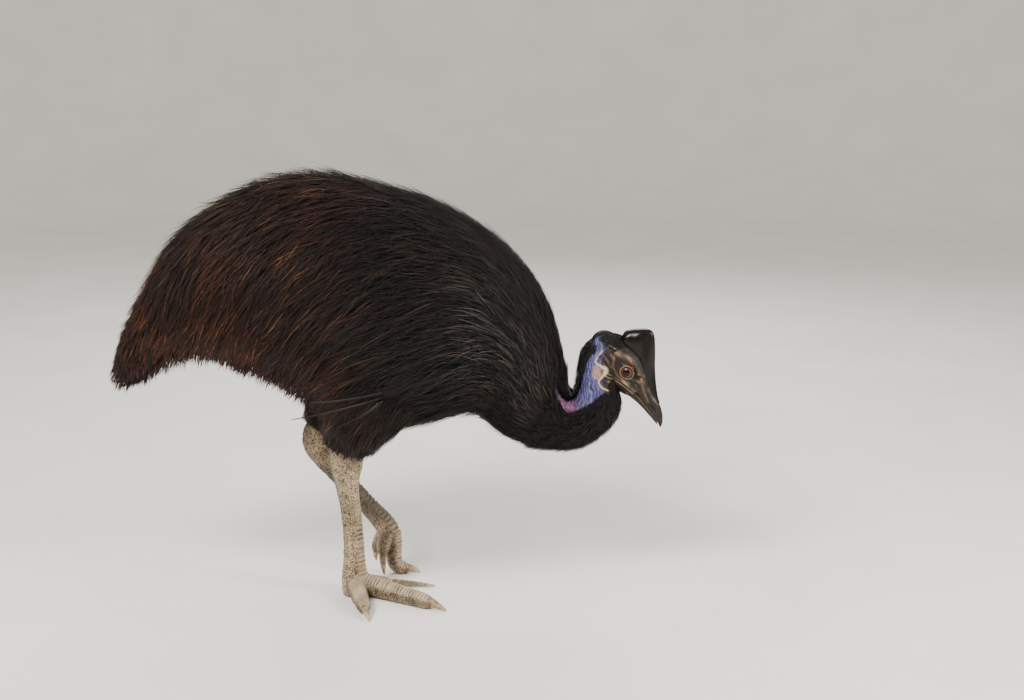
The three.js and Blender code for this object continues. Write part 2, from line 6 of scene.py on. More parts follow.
import bpy
import numpy as np
from mathutils import Matrix, Vector, kdtree


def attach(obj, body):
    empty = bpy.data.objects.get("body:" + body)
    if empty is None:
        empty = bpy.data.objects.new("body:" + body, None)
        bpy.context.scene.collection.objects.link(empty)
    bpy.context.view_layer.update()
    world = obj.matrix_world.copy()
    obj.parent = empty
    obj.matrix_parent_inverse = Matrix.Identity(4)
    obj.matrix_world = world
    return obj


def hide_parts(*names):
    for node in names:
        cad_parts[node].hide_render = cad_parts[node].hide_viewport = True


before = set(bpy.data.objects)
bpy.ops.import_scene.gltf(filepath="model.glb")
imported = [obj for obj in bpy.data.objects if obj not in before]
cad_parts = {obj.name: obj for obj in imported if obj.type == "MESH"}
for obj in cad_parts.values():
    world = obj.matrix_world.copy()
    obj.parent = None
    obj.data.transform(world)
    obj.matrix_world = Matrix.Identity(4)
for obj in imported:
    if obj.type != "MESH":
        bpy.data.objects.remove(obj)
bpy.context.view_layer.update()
MM = 0.001
TAU = 2 * np.pi

# Body sections from the tail to the nape: back edge x and z, belly edge x and z, half width, coat depth
SECTIONS = [
    [-519, 449, -495, 402, 16, 8], [-500, 520, -443, 417, 52, 30], [-461, 597, -384, 449, 88, 42],
    [-410, 682, -326, 458, 122, 46], [-351, 739, -251, 441, 152, 46], [-265, 791, -172, 403, 176, 44],
    [-171, 818, -110, 362, 190, 42], [-70, 813, -31, 322, 194, 38], [31, 787, 62, 326, 187, 34],
    [123, 752, 142, 344, 170, 30], [207, 697, 165, 346, 142, 26], [272, 630, 182, 336, 114, 22],
    [314, 549, 206, 316, 91, 18], [337, 462, 244, 293, 74, 15], [345, 402, 304, 280, 60, 12],
    [351, 388, 375, 284, 51, 10], [359, 402, 431, 326, 45, 8], [363, 435, 447, 368, 41, 6],
    [370, 470, 444, 390, 37, 4], [393, 500, 444, 404, 33, 3],
]
CORE_SHARE = 0.55  # where the skin lies, as a share of the coat's depth
ROOF = -0.16  # makes a section narrower above its middle and wider below
PAST_TAIL = (22, 62)  # x and z for each section that plumes hang on past the tail's end
PAST_LIMB = 30  # millimetres for each row that plumes run on past a limb's end

# Legs: x, y, z, radius fore and aft, radius across
THIGH_RIGHT = [[30, -96, 470, 84, 58], [-4, -97, 420, 84, 62], [-34, -89, 374, 68, 58],
               [-58, -77, 334, 54, 50], [-70, -68, 302, 44, 40]]
THIGH_LEFT = [[-20, 92, 470, 88, 56], [-58, 100, 412, 82, 58], [-96, 104, 356, 64, 50],
              [-124, 105, 316, 50, 42], [-138, 105, 288, 42, 36]]
THIGH_COAT = 13
SHANK_RIGHT = [[-62, -72, 336, 20, 18], [-72, -66, 304, 29, 25], [-74, -63, 274, 32, 26],
               [-75, -60, 246, 27, 22], [-74, -57, 214, 21, 17], [-69, -53, 165, 19, 15],
               [-66, -50, 110, 19, 15], [-66, -48, 66, 21, 18], [-66, -47, 36, 25, 23],
               [-62, -47, 12, 29, 26], [-60, -47, -12, 26, 23]]
SHANK_LEFT = [[-130, 104, 322, 20, 18], [-145, 105, 293, 28, 24], [-152, 105, 264, 30, 25],
              [-142, 101, 238, 26, 21], [-120, 94, 210, 21, 17], [-84, 83, 172, 19, 15],
              [-45, 71, 132, 19, 15], [-20, 64, 106, 21, 18], [-8, 60, 88, 21, 19],
              [-3, 58, 74, 12, 12]]
# Each toe's rows, then its claw's rows
TOES = {
    "right_middle": ([[-56, -48, 22, 22, 20], [-26, -62, 19, 20, 19], [12, -83, 16, 17.5, 17],
                      [48, -103, 14, 15.5, 15], [76, -119, 12, 13.5, 13], [87, -125, 11, 9, 9]],
                     [[76, -119, 13, 10, 9], [90, -127, 12, 8.6, 7.5], [103, -135, 8, 5.4, 4.6],
                      [114, -141, 3.4, 1.8, 1.8]]),
    "right_outer": ([[-62, -60, 20, 19, 19], [-55, -88, 17, 17, 17], [-47, -116, 14, 15, 15],
                     [-39, -142, 12, 13, 13], [-36, -154, 11, 9, 9]],
                    [[-39, -143, 13, 9.5, 9], [-34, -158, 12, 8.4, 7.4], [-30, -173, 8, 5.2, 4.4],
                     [-26, -186, 3.4, 1.7, 1.7]]),
    "right_inner": ([[-52, -36, 16, 17, 17], [-28, -30, 13, 15.5, 15], [-6, -26, 10.5, 12.5, 12],
                     [6, -24, 10, 8, 8]],
                    [[-4, -26, 12, 8.5, 7.5], [18, -24, 11, 7.4, 6.2], [44, -22, 9, 5.6, 4.6],
                     [68, -21, 6.4, 3.8, 3], [88, -20, 4, 1.3, 1.3]]),
    "left_middle": ([[-4, 60, 86, 20, 19], [0, 58.5, 62, 17.5, 17], [1, 57.5, 38, 15.5, 15],
                     [5, 57, 18, 14, 14], [20, 56.5, 10.6, 13, 13], [30, 56, 10, 9, 9]],
                    [[20, 56.5, 12, 9, 8.5], [32, 56, 11, 8, 7.2], [44, 55.5, 8, 5.2, 4.6],
                     [54, 55, 3.6, 1.7, 1.7]]),
    "left_inner": ([[-12, 50, 86, 15, 15], [-17, 42, 70, 13.5, 13.5], [-19, 38, 56, 11.5, 11.5],
                    [-19, 36, 48, 8, 8]],
                   [[-18, 38, 56, 8.5, 8], [-19, 36, 40, 7, 6.5], [-18, 34, 22, 4.8, 4.2],
                    [-16, 33, 5, 1.5, 1.5]]),
    "left_outer": ([[-14, 70, 86, 16, 15], [-26, 80, 66, 14, 14], [-34, 87, 46, 12, 12],
                    [-37, 90, 36, 8, 8]],
                   [[-35, 88, 42, 8, 7.5], [-38, 91, 30, 6, 5.4], [-38, 93, 14, 1.8, 1.8]]),
}
# The right wing: its arm's rows, then the root, middle and tip of each quill
WING_ARM = [[112, -146, 480, 8, 6], [84, -161, 468, 16, 9], [46, -172, 450, 20, 9.5],
            [10, -176, 434, 16, 8], [-8, -177, 426, 8, 6]]
QUILLS = [[[0, -180, 424], [-62, -190, 407], [-158, -168, 381]],
          [[6, -182, 436], [-48, -194, 426], [-122, -188, 418]],
          [[8, -180, 420], [-32, -186, 392], [-84, -170, 366]]]

# Head, in its own frame: x forward along the bill, y to the left, z up
# Skull and bill: x, top, bottom, half width. Casque: base x and z, top x and z, half widths of base and top
HEAD_AT = np.array([464, -8, 437.0])
HEAD_PITCH, HEAD_YAW = np.radians(48.5), np.radians(-18)
SKULL = [
    [-84, -4, -28, 12], [-75, 15, -44, 26], [-58, 27, -52, 34], [-38, 33, -54, 36.5],
    [-18, 35, -52, 36], [0, 33, -48, 33], [18, 26, -45, 28.5], [32, 18, -39.5, 23], [40, 13, -35, 20],
]
BILL_UPPER = [
    [30, 17, -18.2, 21], [40, 13, -18.6, 20], [55, 8, -19, 16.5], [70, 4, -20, 13.5],
    [85, 0.5, -21.6, 10.5], [98, -4.5, -23, 7.4], [109, -11, -25, 4.6], [117, -18, -27, 2.6],
    [121, -24, -28.5, 1],
]
BILL_LOWER = [
    [30, -17.6, -36.5, 18], [40, -18.2, -34.5, 17], [58, -18.8, -31, 13.6], [76, -20.4, -30, 9.8],
    [94, -22.9, -29.6, 5.9], [107, -25.4, -29.8, 2.9], [113, -27.2, -29.8, 1],
]
CASQUE = [
    [-56, 22, -63, 41, 13, 9], [-50, 20, -53, 59, 20, 12], [-37, 20, -37, 77, 22, 12],
    [-18, 22, -22, 79, 21, 8], [4, 20, 3, 60, 18, 6], [24, 12, 27, 39.5, 14, 5],
    [46, 1, 51, 21, 10, 4], [64, -3, 71, 8.5, 6, 3], [76, -2, 85, 2, 3, 1.5],
]
MOUTH_LINE = [[-26, -34], [-12, -29.5], [4, -24.5], [20, -20.8], [40, -19.0]]
EYE_OUT, EYE_RADIUS = 22.5, 14.5
EAR = (-55, -20)
NOSTRIL = (82, -11)
LID = 12.2
PAD = ([-65, 0, -9], [30, 28, 27], True)  # a ball that rounds the back of the skull into the nape

# Markings on the side of the head, as x and z in its own frame, but the edge of the face as z and x
FACE_EDGE = [[-60, 12], [-52, -6], [-40, -24], [-28, -42], [-14, -55], [2, -62], [20, -68]]
BAND = [[-61, -10], [-58, -20], [-53, -31], [-42, -29], [-31, -26], [-24, -31], [-22, -41], [-20, -50],
        [-8, -53], [9, -47]]
OVER_EYE = [[-60, 8], [-40, 14], [-16, 20], [8, 17], [26, 10], [44, 0], [70, -8]]
UNDER_EYE = [[-40, 4], [-26, -12], [-6, -18], [16, -14], [40, -14]]
BILL_EDGE = [[30, -19.0], [70, -20.6], [98, -23.3], [121, -28.4]]
BILL_STRIPE = [[28, 8], [50, -3], [68, -10]]

# Edges of the bare skin on the neck, as section number and turn from the back of the neck
NAPE_EDGE = [[13.1, 0.9], [13.6, 0.8], [14.3, 0.55], [15, 0.32], [16, 0.35], [16.9, 0.5], [17.6, 0.66],
             [19, 0.77]]
THROAT_EDGE = [[13.1, 1.0], [13.6, 1.12], [14.3, 1.12], [15.3, 1.06], [15.75, 1.17], [16.35, 1.43],
               [16.8, 1.68], [17.3, 1.95], [19, 2.2]]

# Colours of plumes, bare skin and legs, as linear red, green and blue
BLACK = np.array([0.0055, 0.0048, 0.0048])
SOOT = np.array([0.014, 0.011, 0.010])
UMBER = np.array([0.034, 0.015, 0.009])
RUST = np.array([0.135, 0.036, 0.017])
STRAW = np.array([0.24, 0.12, 0.055])
# The next colour is a painted highlight: paler strands in a band along the sides of the neck and breast
PAINTED_SHEEN = np.array([0.11, 0.10, 0.095])
SLATE = np.array([0.022, 0.020, 0.045])
VIOLET = np.array([0.088, 0.082, 0.25])
LILAC = np.array([0.30, 0.28, 0.42])
PINK = np.array([0.27, 0.045, 0.06])
CREAM = np.array([0.62, 0.50, 0.27])
FLESH = np.array([0.36, 0.20, 0.15])
FACE = np.array([0.009, 0.0065, 0.0055])
TAN = np.array([0.30, 0.185, 0.105])
SKIN_PALE = np.array([0.56, 0.44, 0.27])
SKIN_GREY = np.array([0.27, 0.195, 0.115])

# Coat: triangles in one piece at most, the share of tufts made, and the size of a tuft in the bake map
PIECE_LIMIT = 190000
TUFT_SHARE = 1.0
TUFT_UV = 0.0015
RISE = 0.45  # how fast a plume leaves a surface that turns away from its lie
LEAST_ALONG, LEAST_AROUND = 25, 12  # millimetres for each step of s or turn, where a surface closes up

# Camera, in metres, degrees and millimetres
CAMERA_AT = (0.23845, -2.6, 1.05)
CAMERA_DOWN = 12.53
LENS, SENSOR = 49.283, 36


def smooth(a, b, x):
    t = np.clip((x - a) / (b - a), 0, 1)
    return t * t * (3 - 2 * t)


def between(rows, s):
    """Rows of a table at fractional row numbers, on a smooth curve through its rows."""
    rows = np.asarray(rows, float)
    last = len(rows) - 1
    t = np.clip(s, 0, last)
    i = np.minimum(t.astype(int), last - 1)
    f = (t - i)[..., None]
    a, b = rows[np.maximum(i - 1, 0)], rows[i]
    c, d = rows[i + 1], rows[np.minimum(i + 2, last)]
    return 0.5 * (2 * b + (c - a) * f + (2 * a - 5 * b + 4 * c - d) * f**2
                  + (3 * b - a - 3 * c + d) * f**3)


def unit(v):
    return v / np.maximum(np.linalg.norm(v, axis=-1, keepdims=True), 1e-9)


def blend(a, b, amount):
    return a + (b - a) * amount[:, None]


def layered(colour, *layers):
    """Colours laid over one another, each by its own amount at each point."""
    for over, amount in layers:
        colour = blend(colour, over, amount)
    return colour


def waves(p, size, seed=0.0):
    """Smooth noise from -1 to 1 at points, with features of about this size."""
    q = p / size + seed
    total = np.zeros(len(q))
    draws = np.random.default_rng(int(seed * 10) + 5)
    for _ in range(7):
        k = unit(draws.normal(size=3)) * draws.uniform(0.7, 1.7)
        total += np.sin(TAU * (q @ k) * 0.5 + draws.uniform(0, TAU))
    return total / 3.2


def to_line(x, z, line):
    """How far points lie from a line of several stretches."""
    best = np.full(len(x), 1e9)
    for (ax, az), (bx, bz) in zip(line[:-1], line[1:]):
        t = np.clip(((x - ax) * (bx - ax) + (z - az) * (bz - az)) / ((bx - ax)**2 + (bz - az)**2), 0, 1)
        best = np.minimum(best, np.hypot(x - ax - t * (bx - ax), z - az - t * (bz - az)))
    return best


def closest(known, asked):
    """The number of the nearest known point to each point asked about."""
    tree = kdtree.KDTree(len(known))
    for index, point in enumerate(known):
        tree.insert(point, index)
    tree.balance()
    return np.array([tree.find(point)[1] for point in asked])


# Surfaces: functions of a place along, a turn round and a depth under the coat's outside
def body_surface(s, turn, depth):
    row = between(SECTIONS, s)
    tx, tz, bx, bz, half = (row[..., k] for k in range(5))
    hx, hz = (tx - bx) / 2, (tz - bz) / 2
    high = np.hypot(hx, hz)
    inset = np.minimum(depth, 0.62 * np.minimum(high, half))
    tall = (high - inset) / high
    roof = ROOF * (1 - smooth(9, 13, s))
    past = np.minimum(s, 0)
    return np.stack([
        (tx + bx) / 2 + hx * np.cos(turn) * tall + past * PAST_TAIL[0],
        (half - inset) * np.sin(turn) * (1 + roof * np.cos(turn)),
        (tz + bz) / 2 + hz * np.cos(turn) * tall + past * PAST_TAIL[1],
    ], -1)


def limb_surface(rows):
    def surface(s, turn, depth):
        row = between(rows, s)
        along = unit((between(rows, s + 0.02) - between(rows, s - 0.02))[..., :3])
        level = np.stack([-along[..., 1], along[..., 0], 0 * along[..., 0]], -1)
        steep = (np.abs(along[..., 2]) > 0.6)[..., None]
        level = np.where(steep, np.array([0.0, 1, 0]), level)
        side = unit(level - along * np.sum(level * along, -1, keepdims=True))
        front = np.cross(side, along)
        past = np.maximum(np.asarray(s, float) - (len(rows) - 1), 0)[..., None]
        return (row[..., :3] + along * past * PAST_LIMB
                + front * ((row[..., 3] - depth) * np.cos(turn))[..., None]
                + side * ((row[..., 4] - depth) * np.sin(turn))[..., None])
    return surface


def head_axes(pitch, yaw):
    """The head's own x, y and z, one to a row."""
    return np.array([
        [np.cos(yaw) * np.cos(pitch), np.sin(yaw) * np.cos(pitch), -np.sin(pitch)],
        [-np.sin(yaw), np.cos(yaw), 0],
        [np.cos(yaw) * np.sin(pitch), np.sin(yaw) * np.sin(pitch), np.cos(pitch)],
    ])


HEAD_AXES = head_axes(HEAD_PITCH, HEAD_YAW)


def from_head(p):
    return HEAD_AT + np.asarray(p, float) @ HEAD_AXES


def to_head(p):
    return (p - HEAD_AT) @ HEAD_AXES.T


def head_surface(rows, flat_side=0):
    """Round sections in the head's frame. With flat_side 1 or -1, the upper or the lower half is square."""
    def surface(s, turn, depth):
        row = between(rows, s)
        x, top, bottom, half = (row[..., k] for k in range(4))
        power = np.where(np.cos(turn) * flat_side > 0, 0.38, 1.0)
        across = np.sign(np.sin(turn)) * np.abs(np.sin(turn)) ** power
        up = (top + bottom) / 2 + ((top - bottom) / 2 - depth) * np.cos(turn)
        return from_head(np.stack([x, (half - depth) * across, up], -1))
    return surface


def casque_surface(s, turn, depth):
    row = between(CASQUE, s)
    bx, bz, tx, tz, base_half, top_half = (row[..., k] for k in range(6))
    up = (1 + np.cos(turn)) / 2
    half = base_half + (top_half - base_half) * up
    square = np.sign(np.sin(turn)) * np.abs(np.sin(turn)) ** 0.7
    return from_head(np.stack([bx + (tx - bx) * up, half * square, bz + (tz - bz) * up], -1))


def ball_surface(centre, radii, at_head=False):
    """An ellipsoid, in the head's frame or the model's, with its ends at the far points of x."""
    def surface(s, turn, depth):
        a = np.pi * np.clip(s, 0.01, 0.99)
        local = np.stack([np.cos(a), np.sin(a) * np.cos(turn), np.sin(a) * np.sin(turn)], -1)
        spot = np.asarray(centre, float) + local * (np.asarray(radii) - np.asarray(depth)[..., None])
        return from_head(spot) if at_head else spot
    return surface


def lid_surface(side):
    """The raised rim of skin round an eye."""
    def surface(s, turn, depth):
        a = TAU * s
        r = LID + 2.4 * np.cos(turn)
        across = side * (EYE_OUT + 9.2 + 2.2 * np.sin(turn))
        return from_head(np.stack([r * np.cos(a) * 1.06, across, r * np.sin(a) * 0.9 + 0.5], -1))
    return surface


# Meshes
def make(name, verts, faces):
    """A smooth mesh from points and lists of faces, each list with one number of corners."""
    mesh = bpy.data.meshes.new(name)
    verts = np.asarray(verts, float) * MM
    loops = np.concatenate([f.ravel() for f in faces]).astype(np.int32)
    totals = np.concatenate([np.full(len(f), f.shape[1]) for f in faces]).astype(np.int32)
    starts = np.concatenate([[0], np.cumsum(totals)[:-1]]).astype(np.int32)
    mesh.vertices.add(len(verts))
    mesh.vertices.foreach_set("co", verts.ravel().astype(np.float32))
    mesh.loops.add(len(loops))
    mesh.loops.foreach_set("vertex_index", loops)
    mesh.polygons.add(len(totals))
    mesh.polygons.foreach_set("loop_start", starts)
    mesh.polygons.foreach_set("loop_total", totals)
    mesh.polygons.foreach_set("use_smooth", np.ones(len(totals), bool))
    mesh.update(calc_edges=True)
    obj = bpy.data.objects.new(name, mesh)
    bpy.context.collection.objects.link(obj)
    return obj


def tube(surface, first, last, rings, sides, depth=0.0):
    """A closed tube of a surface, as points and lists of faces."""
    s = np.repeat(np.linspace(first, last, rings + 1)[:, None], sides, 1)
    turn = np.repeat((TAU * np.arange(sides) / sides)[None], rings + 1, 0)
    depths = depth(s) if callable(depth) else np.full(s.shape, float(depth))
    points = surface(s, turn, depths)
    ends = np.stack([points[0].mean(0), points[-1].mean(0)])
    verts = np.concatenate([points.reshape(-1, 3), ends])
    k = np.arange(sides)
    k2 = (k + 1) % sides
    base = (np.arange(rings) * sides)[:, None]
    quads = np.stack([base + k, base + k2, base + k2 + sides, base + k + sides], -1).reshape(-1, 4)
    foot, head = rings * sides + sides, rings * sides + sides + 1
    caps = np.concatenate([
        np.stack([np.full(sides, foot), k2, k], -1),
        np.stack([np.full(sides, head), rings * sides + k, rings * sides + k2], -1),
    ])
    centre = verts[quads].mean(1) - np.repeat(points.mean(1)[:-1], sides, 0)
    normal = np.cross(verts[quads[:, 1]] - verts[quads[:, 0]], verts[quads[:, 3]] - verts[quads[:, 0]])
    if np.sum(centre * normal) < 0:
        quads, caps = quads[:, ::-1], caps[:, ::-1]
    return verts, [quads, caps]


def joined(name, parts):
    verts, quads, tris, base = [], [], [], 0
    for v, (q, c) in parts:
        verts.append(v)
        quads.append(q + base)
        tris.append(c + base)
        base += len(v)
    return make(name, np.concatenate(verts), [np.concatenate(quads), np.concatenate(tris)])


def fused(obj, voxel, rounds):
    """One closed skin round all the closed pieces of a mesh, evened out."""
    remesh = obj.modifiers.new("fuse", "REMESH")
    remesh.mode = "VOXEL"
    remesh.voxel_size = voxel * MM
    soft = obj.modifiers.new("soft", "SMOOTH")
    soft.factor = 0.5
    soft.iterations = rounds
    bpy.context.view_layer.update()
    graph = bpy.context.evaluated_depsgraph_get()
    mesh = bpy.data.meshes.new_from_object(obj.evaluated_get(graph))
    obj.modifiers.clear()
    before = obj.data
    obj.data = mesh
    bpy.data.meshes.remove(before)
    mesh.polygons.foreach_set("use_smooth", np.ones(len(mesh.polygons), bool))


def vertex_values(obj, name):
    values = np.empty(len(obj.data.vertices) * 3, np.float32)
    obj.data.vertices.foreach_get(name, values)
    return values.reshape(-1, 3).astype(float)


def points_of(obj):
    return vertex_values(obj, "co") / MM


def set_points(obj, points):
    obj.data.vertices.foreach_set("co", (points * MM).ravel().astype(np.float32))
    obj.data.update()


def push(obj, amount):
    """Moves each point of a mesh out along its normal."""
    set_points(obj, points_of(obj) + vertex_values(obj, "normal") * amount[:, None])


def paint(obj, colours):
    colours = np.clip(colours, 0, 1)
    rgba = np.concatenate([colours, np.ones((len(colours), 1))], 1).astype(np.float32)
    layer = obj.data.color_attributes.new("tint", "FLOAT_COLOR", "POINT")
    layer.data.foreach_set("color", rgba.ravel())


def paint_grey(obj, tone):
    paint(obj, np.repeat(tone[:, None], 3, 1))


def mark(obj, name, amount):
    """One number at each point, which a material reads by its name."""
    layer = obj.data.attributes.new(name, "FLOAT", "POINT")
    layer.data.foreach_set("value", np.clip(amount, 0, 1).astype(np.float32))


def nearest(obj, surfaces):
    """For each point of a mesh, the nearest surface's number and its (s, turn) there."""
    rows = []
    for index, (surface, low, high) in enumerate(surfaces):
        s, turn = np.meshgrid(np.linspace(low, high, int(18 * (high - low)) + 2),
                              np.linspace(-np.pi, np.pi, 61)[:-1], indexing="ij")
        s, turn = s.ravel(), turn.ravel()
        rows.append(np.concatenate([surface(s, turn, 0 * s), np.full((len(s), 1), index),
                                    s[:, None], turn[:, None]], 1))
    rows = np.concatenate(rows)
    found = closest(rows[:, :3], points_of(obj))
    return rows[found, 3].astype(int), rows[found, 4], rows[found, 5]


def pinned(obj, mat, nodes):
    """Gives a piece its material and body, and hides the solids that it stands for."""
    obj.data.materials.append(mat)
    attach(obj, "root")
    if nodes:
        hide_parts(*nodes)


# Materials
def material(name, roughness=0.5, **sockets):
    mat = bpy.data.materials.new(name)
    mat.use_nodes = True
    shader = mat.node_tree.nodes["Principled BSDF"]
    shader.inputs["Roughness"].default_value = roughness
    for key, value in sockets.items():
        shader.inputs[key.replace("_", " ")].default_value = value
    return mat, mat.node_tree, shader


def node(tree, kind, inputs=None, **settings):
    made = tree.nodes.new(kind)
    for key, value in settings.items():
        setattr(made, key, value)
    for key, value in (inputs or {}).items():
        if isinstance(value, bpy.types.NodeSocket):
            tree.links.new(value, made.inputs[key])
        else:
            made.inputs[key].default_value = value
    return made


def ramp(tree, source, stops):
    made = node(tree, "ShaderNodeValToRGB", {"Fac": source})
    elements = made.color_ramp.elements
    while len(elements) < len(stops):
        elements.new(0.5)
    for element, (place, colour) in zip(elements, stops):
        element.position = place
        element.color = (*colour, 1)
    return made.outputs["Color"]


def mixed(tree, kind, factor, a, b):
    inputs = {0: factor, 6: a, 7: b}
    return node(tree, "ShaderNodeMix", inputs, data_type="RGBA", blend_type=kind).outputs[2]


def bump(tree, shader, height, strength, distance):
    made = node(tree, "ShaderNodeBump", {"Height": height, "Strength": strength, "Distance": distance * MM})
    tree.links.new(made.outputs["Normal"], shader.inputs["Normal"])


def coloured(tree, shader, colour):
    tree.links.new(colour, shader.inputs["Base Color"])


def tinted(tree):
    return node(tree, "ShaderNodeAttribute", attribute_name="tint").outputs["Color"]


def marked(tree, name):
    return node(tree, "ShaderNodeAttribute", attribute_name=name).outputs["Fac"]


def place(tree, scale=(1, 1, 1)):
    inputs = {"Vector": node(tree, "ShaderNodeTexCoord").outputs["Object"], "Scale": scale}
    return node(tree, "ShaderNodeMapping", inputs).outputs["Vector"]


def noise(tree, where, scale, detail, roughness=0.5):
    inputs = {"Vector": where, "Scale": scale, "Detail": detail, "Roughness": roughness}
    return node(tree, "ShaderNodeTexNoise", inputs).outputs["Fac"]


def cells(tree, where, scale, randomness, feature):
    inputs = {"Vector": where, "Scale": scale, "Randomness": randomness}
    return node(tree, "ShaderNodeTexVoronoi", inputs, feature=feature).outputs["Distance"]


def skin_material():
    """Bare skin of the face and neck, pitted and finely creased."""
    mat, tree, shader = material("face_skin", 0.48, Specular_IOR_Level=0.25)
    where = place(tree)
    fine = noise(tree, where, 900.0, 4.0, 0.6)
    creases = cells(tree, where, 620.0, 1.0, "DISTANCE_TO_EDGE")
    shade = ramp(tree, fine, [(0.3, (0.62, 0.6, 0.6)), (0.7, (1.2, 1.2, 1.2))])
    coloured(tree, shader, mixed(tree, "MULTIPLY", 0.75, tinted(tree), shade))
    lines = ramp(tree, creases, [(0.0, (0, 0, 0)), (0.25, (1, 1, 1))])
    bump(tree, shader, mixed(tree, "MIX", 0.45, fine, lines), 0.5, 0.5)
    return mat


def scale_material():
    """Leg scales: many-sided plates with dark seams and specks, fewer of them on the large plates."""
    mat, tree, shader = material("leg_scales", 0.5, Specular_IOR_Level=0.45)
    where = place(tree, (1, 1, 0.8))
    seam = ramp(tree, cells(tree, where, 200.0, 0.75, "DISTANCE_TO_EDGE"),
                [(0.02, (0.13, 0.09, 0.06)), (0.13, (1, 1, 1))])
    speck = ramp(tree, cells(tree, where, 200.0, 0.75, "F1"),
                 [(0.24, (0.13, 0.085, 0.05)), (0.42, (1, 1, 1))])
    fine = noise(tree, where, 420.0, 5.0)
    grain = ramp(tree, fine, [(0.3, (0.72, 0.68, 0.62)), (0.7, (1.12, 1.1, 1.08))])
    amount = marked(tree, "seams")
    colour = mixed(tree, "MULTIPLY", amount, tinted(tree), seam)
    colour = mixed(tree, "MULTIPLY", amount, colour, speck)
    coloured(tree, shader, mixed(tree, "MULTIPLY", 0.8, colour, grain))
    bump(tree, shader, mixed(tree, "MIX", 0.25, seam, fine), 0.55, 0.7)
    return mat


def horn_material(name, dark, light, roughness, streak, bump_strength):
    """Horn with streaks, as many to the metre along x, y and z as streak says, and pale marks."""
    mat, tree, shader = material(name, roughness, Specular_IOR_Level=0.22)
    coarse = noise(tree, place(tree, streak), 1.0, 6.0, 0.6)
    colour = ramp(tree, coarse, [(0.3, dark), (0.72, light)])
    colour = mixed(tree, "MULTIPLY", 1.0, colour, tinted(tree))
    coloured(tree, shader, mixed(tree, "MIX", marked(tree, "pale"), colour, (0.22, 0.135, 0.072, 1)))
    fine = noise(tree, place(tree, tuple(9 * k for k in streak)), 1.0, 4.0)
    bump(tree, shader, fine, bump_strength, 0.5)
    return mat


def coat_material():
    mat, tree, shader = material("plumage", 0.5, Specular_IOR_Level=0.2)
    fine = noise(tree, place(tree), 160.0, 3.0)
    shade = ramp(tree, fine, [(0.3, (0.75, 0.75, 0.75)), (0.7, (1.25, 1.2, 1.15))])
    coloured(tree, shader, mixed(tree, "MULTIPLY", 0.8, tinted(tree), shade))
    return mat


def under_material():
    """Dark flesh that shows only between the tufts."""
    mat, tree, shader = material("under_coat", 0.7)
    spots = noise(tree, place(tree), 300.0, 3.0)
    coloured(tree, shader, ramp(tree, spots, [(0.3, (0.006, 0.005, 0.005)), (0.7, (0.02, 0.014, 0.011))]))
    bump(tree, shader, spots, 0.6, 1.5)
    return mat


def floor_material():
    mat, tree, shader = material("floor", 0.9)
    spots = noise(tree, place(tree), 3.0, 4.0)
    coloured(tree, shader, ramp(tree, spots, [(0.3, (0.84, 0.81, 0.75)), (0.7, (0.90, 0.87, 0.81))]))
    return mat


def eye_material():
    """Iris and pupil as rings round the eye's axis, in the eye's own space."""
    mat, tree, shader = material("eye", 0.12, Specular_IOR_Level=0.1, Coat_Weight=0.3, Coat_Roughness=0.03)
    share = 1 / (EYE_RADIUS * MM)
    radius = node(tree, "ShaderNodeVectorMath", {0: place(tree, (share, 0, share))}, operation="LENGTH")
    rays = noise(tree, place(tree), 900.0, 3.0)
    inputs = {0: rays, 1: 0.08, 2: radius.outputs["Value"]}
    ring = node(tree, "ShaderNodeMath", inputs, operation="MULTIPLY_ADD")
    coloured(tree, shader, ramp(tree, ring.outputs["Value"], [
        (0.0, (0.002, 0.0015, 0.0015)), (0.47, (0.003, 0.002, 0.002)), (0.52, (0.04, 0.015, 0.007)),
        (0.61, (0.13, 0.043, 0.016)), (0.69, (0.06, 0.021, 0.010)), (0.75, (0.010, 0.006, 0.005)),
        (0.9, (0.008, 0.006, 0.005)),
    ]))
    return mat


# Walking over a surface: a lie gives the way that plumes point at places on it
def tangents(surface, s, turn, depth):
    e = 0.03
    along = (surface(s + e, turn, depth) - surface(s - e, turn, depth)) / (2 * e)
    around = (surface(s, turn + e, depth) - surface(s, turn - e, depth)) / (2 * e)
    return along, around


def outward(surface, s, turn, depth, along, around):
    out = unit(np.cross(along, around))
    inward = surface(s, turn, depth + 2) - surface(s, turn, depth)
    return np.where(np.sum(out * inward, -1, keepdims=True) > 0, -out, out)


def backward(points, s, turn, along):
    """Plumes that lie straight back along the neck or the body."""
    return -unit(along)


def forward(points, s, turn, along):
    return unit(along)


def body_lie(points, s, turn, along):
    """Over the neck and breast they lie straight back, and further back they hang more and more."""
    hang = np.radians(np.interp(points[:, 0], [-480, -330, -160, 0, 160, 300], [66, 62, 48, 30, 20, 14]))
    hanging = np.stack([-np.cos(hang), 0 * hang, -np.sin(hang)], -1)
    share = (1 - smooth(6.5, 11, s))[:, None]
    return unit(-unit(along) * (1 - share) + hanging * share)


def brow_lie(points, s, turn, along):
    """Bristles that stand out sideways and up over the eye."""
    return unit(np.sign(turn)[:, None] * HEAD_AXES[1] * 0.9 + HEAD_AXES[2] * 0.5 + unit(along) * 0.35)


def thigh_lie(points, s, turn, along):
    return unit(unit(along) + np.array([-0.25, 0, -0.3]))


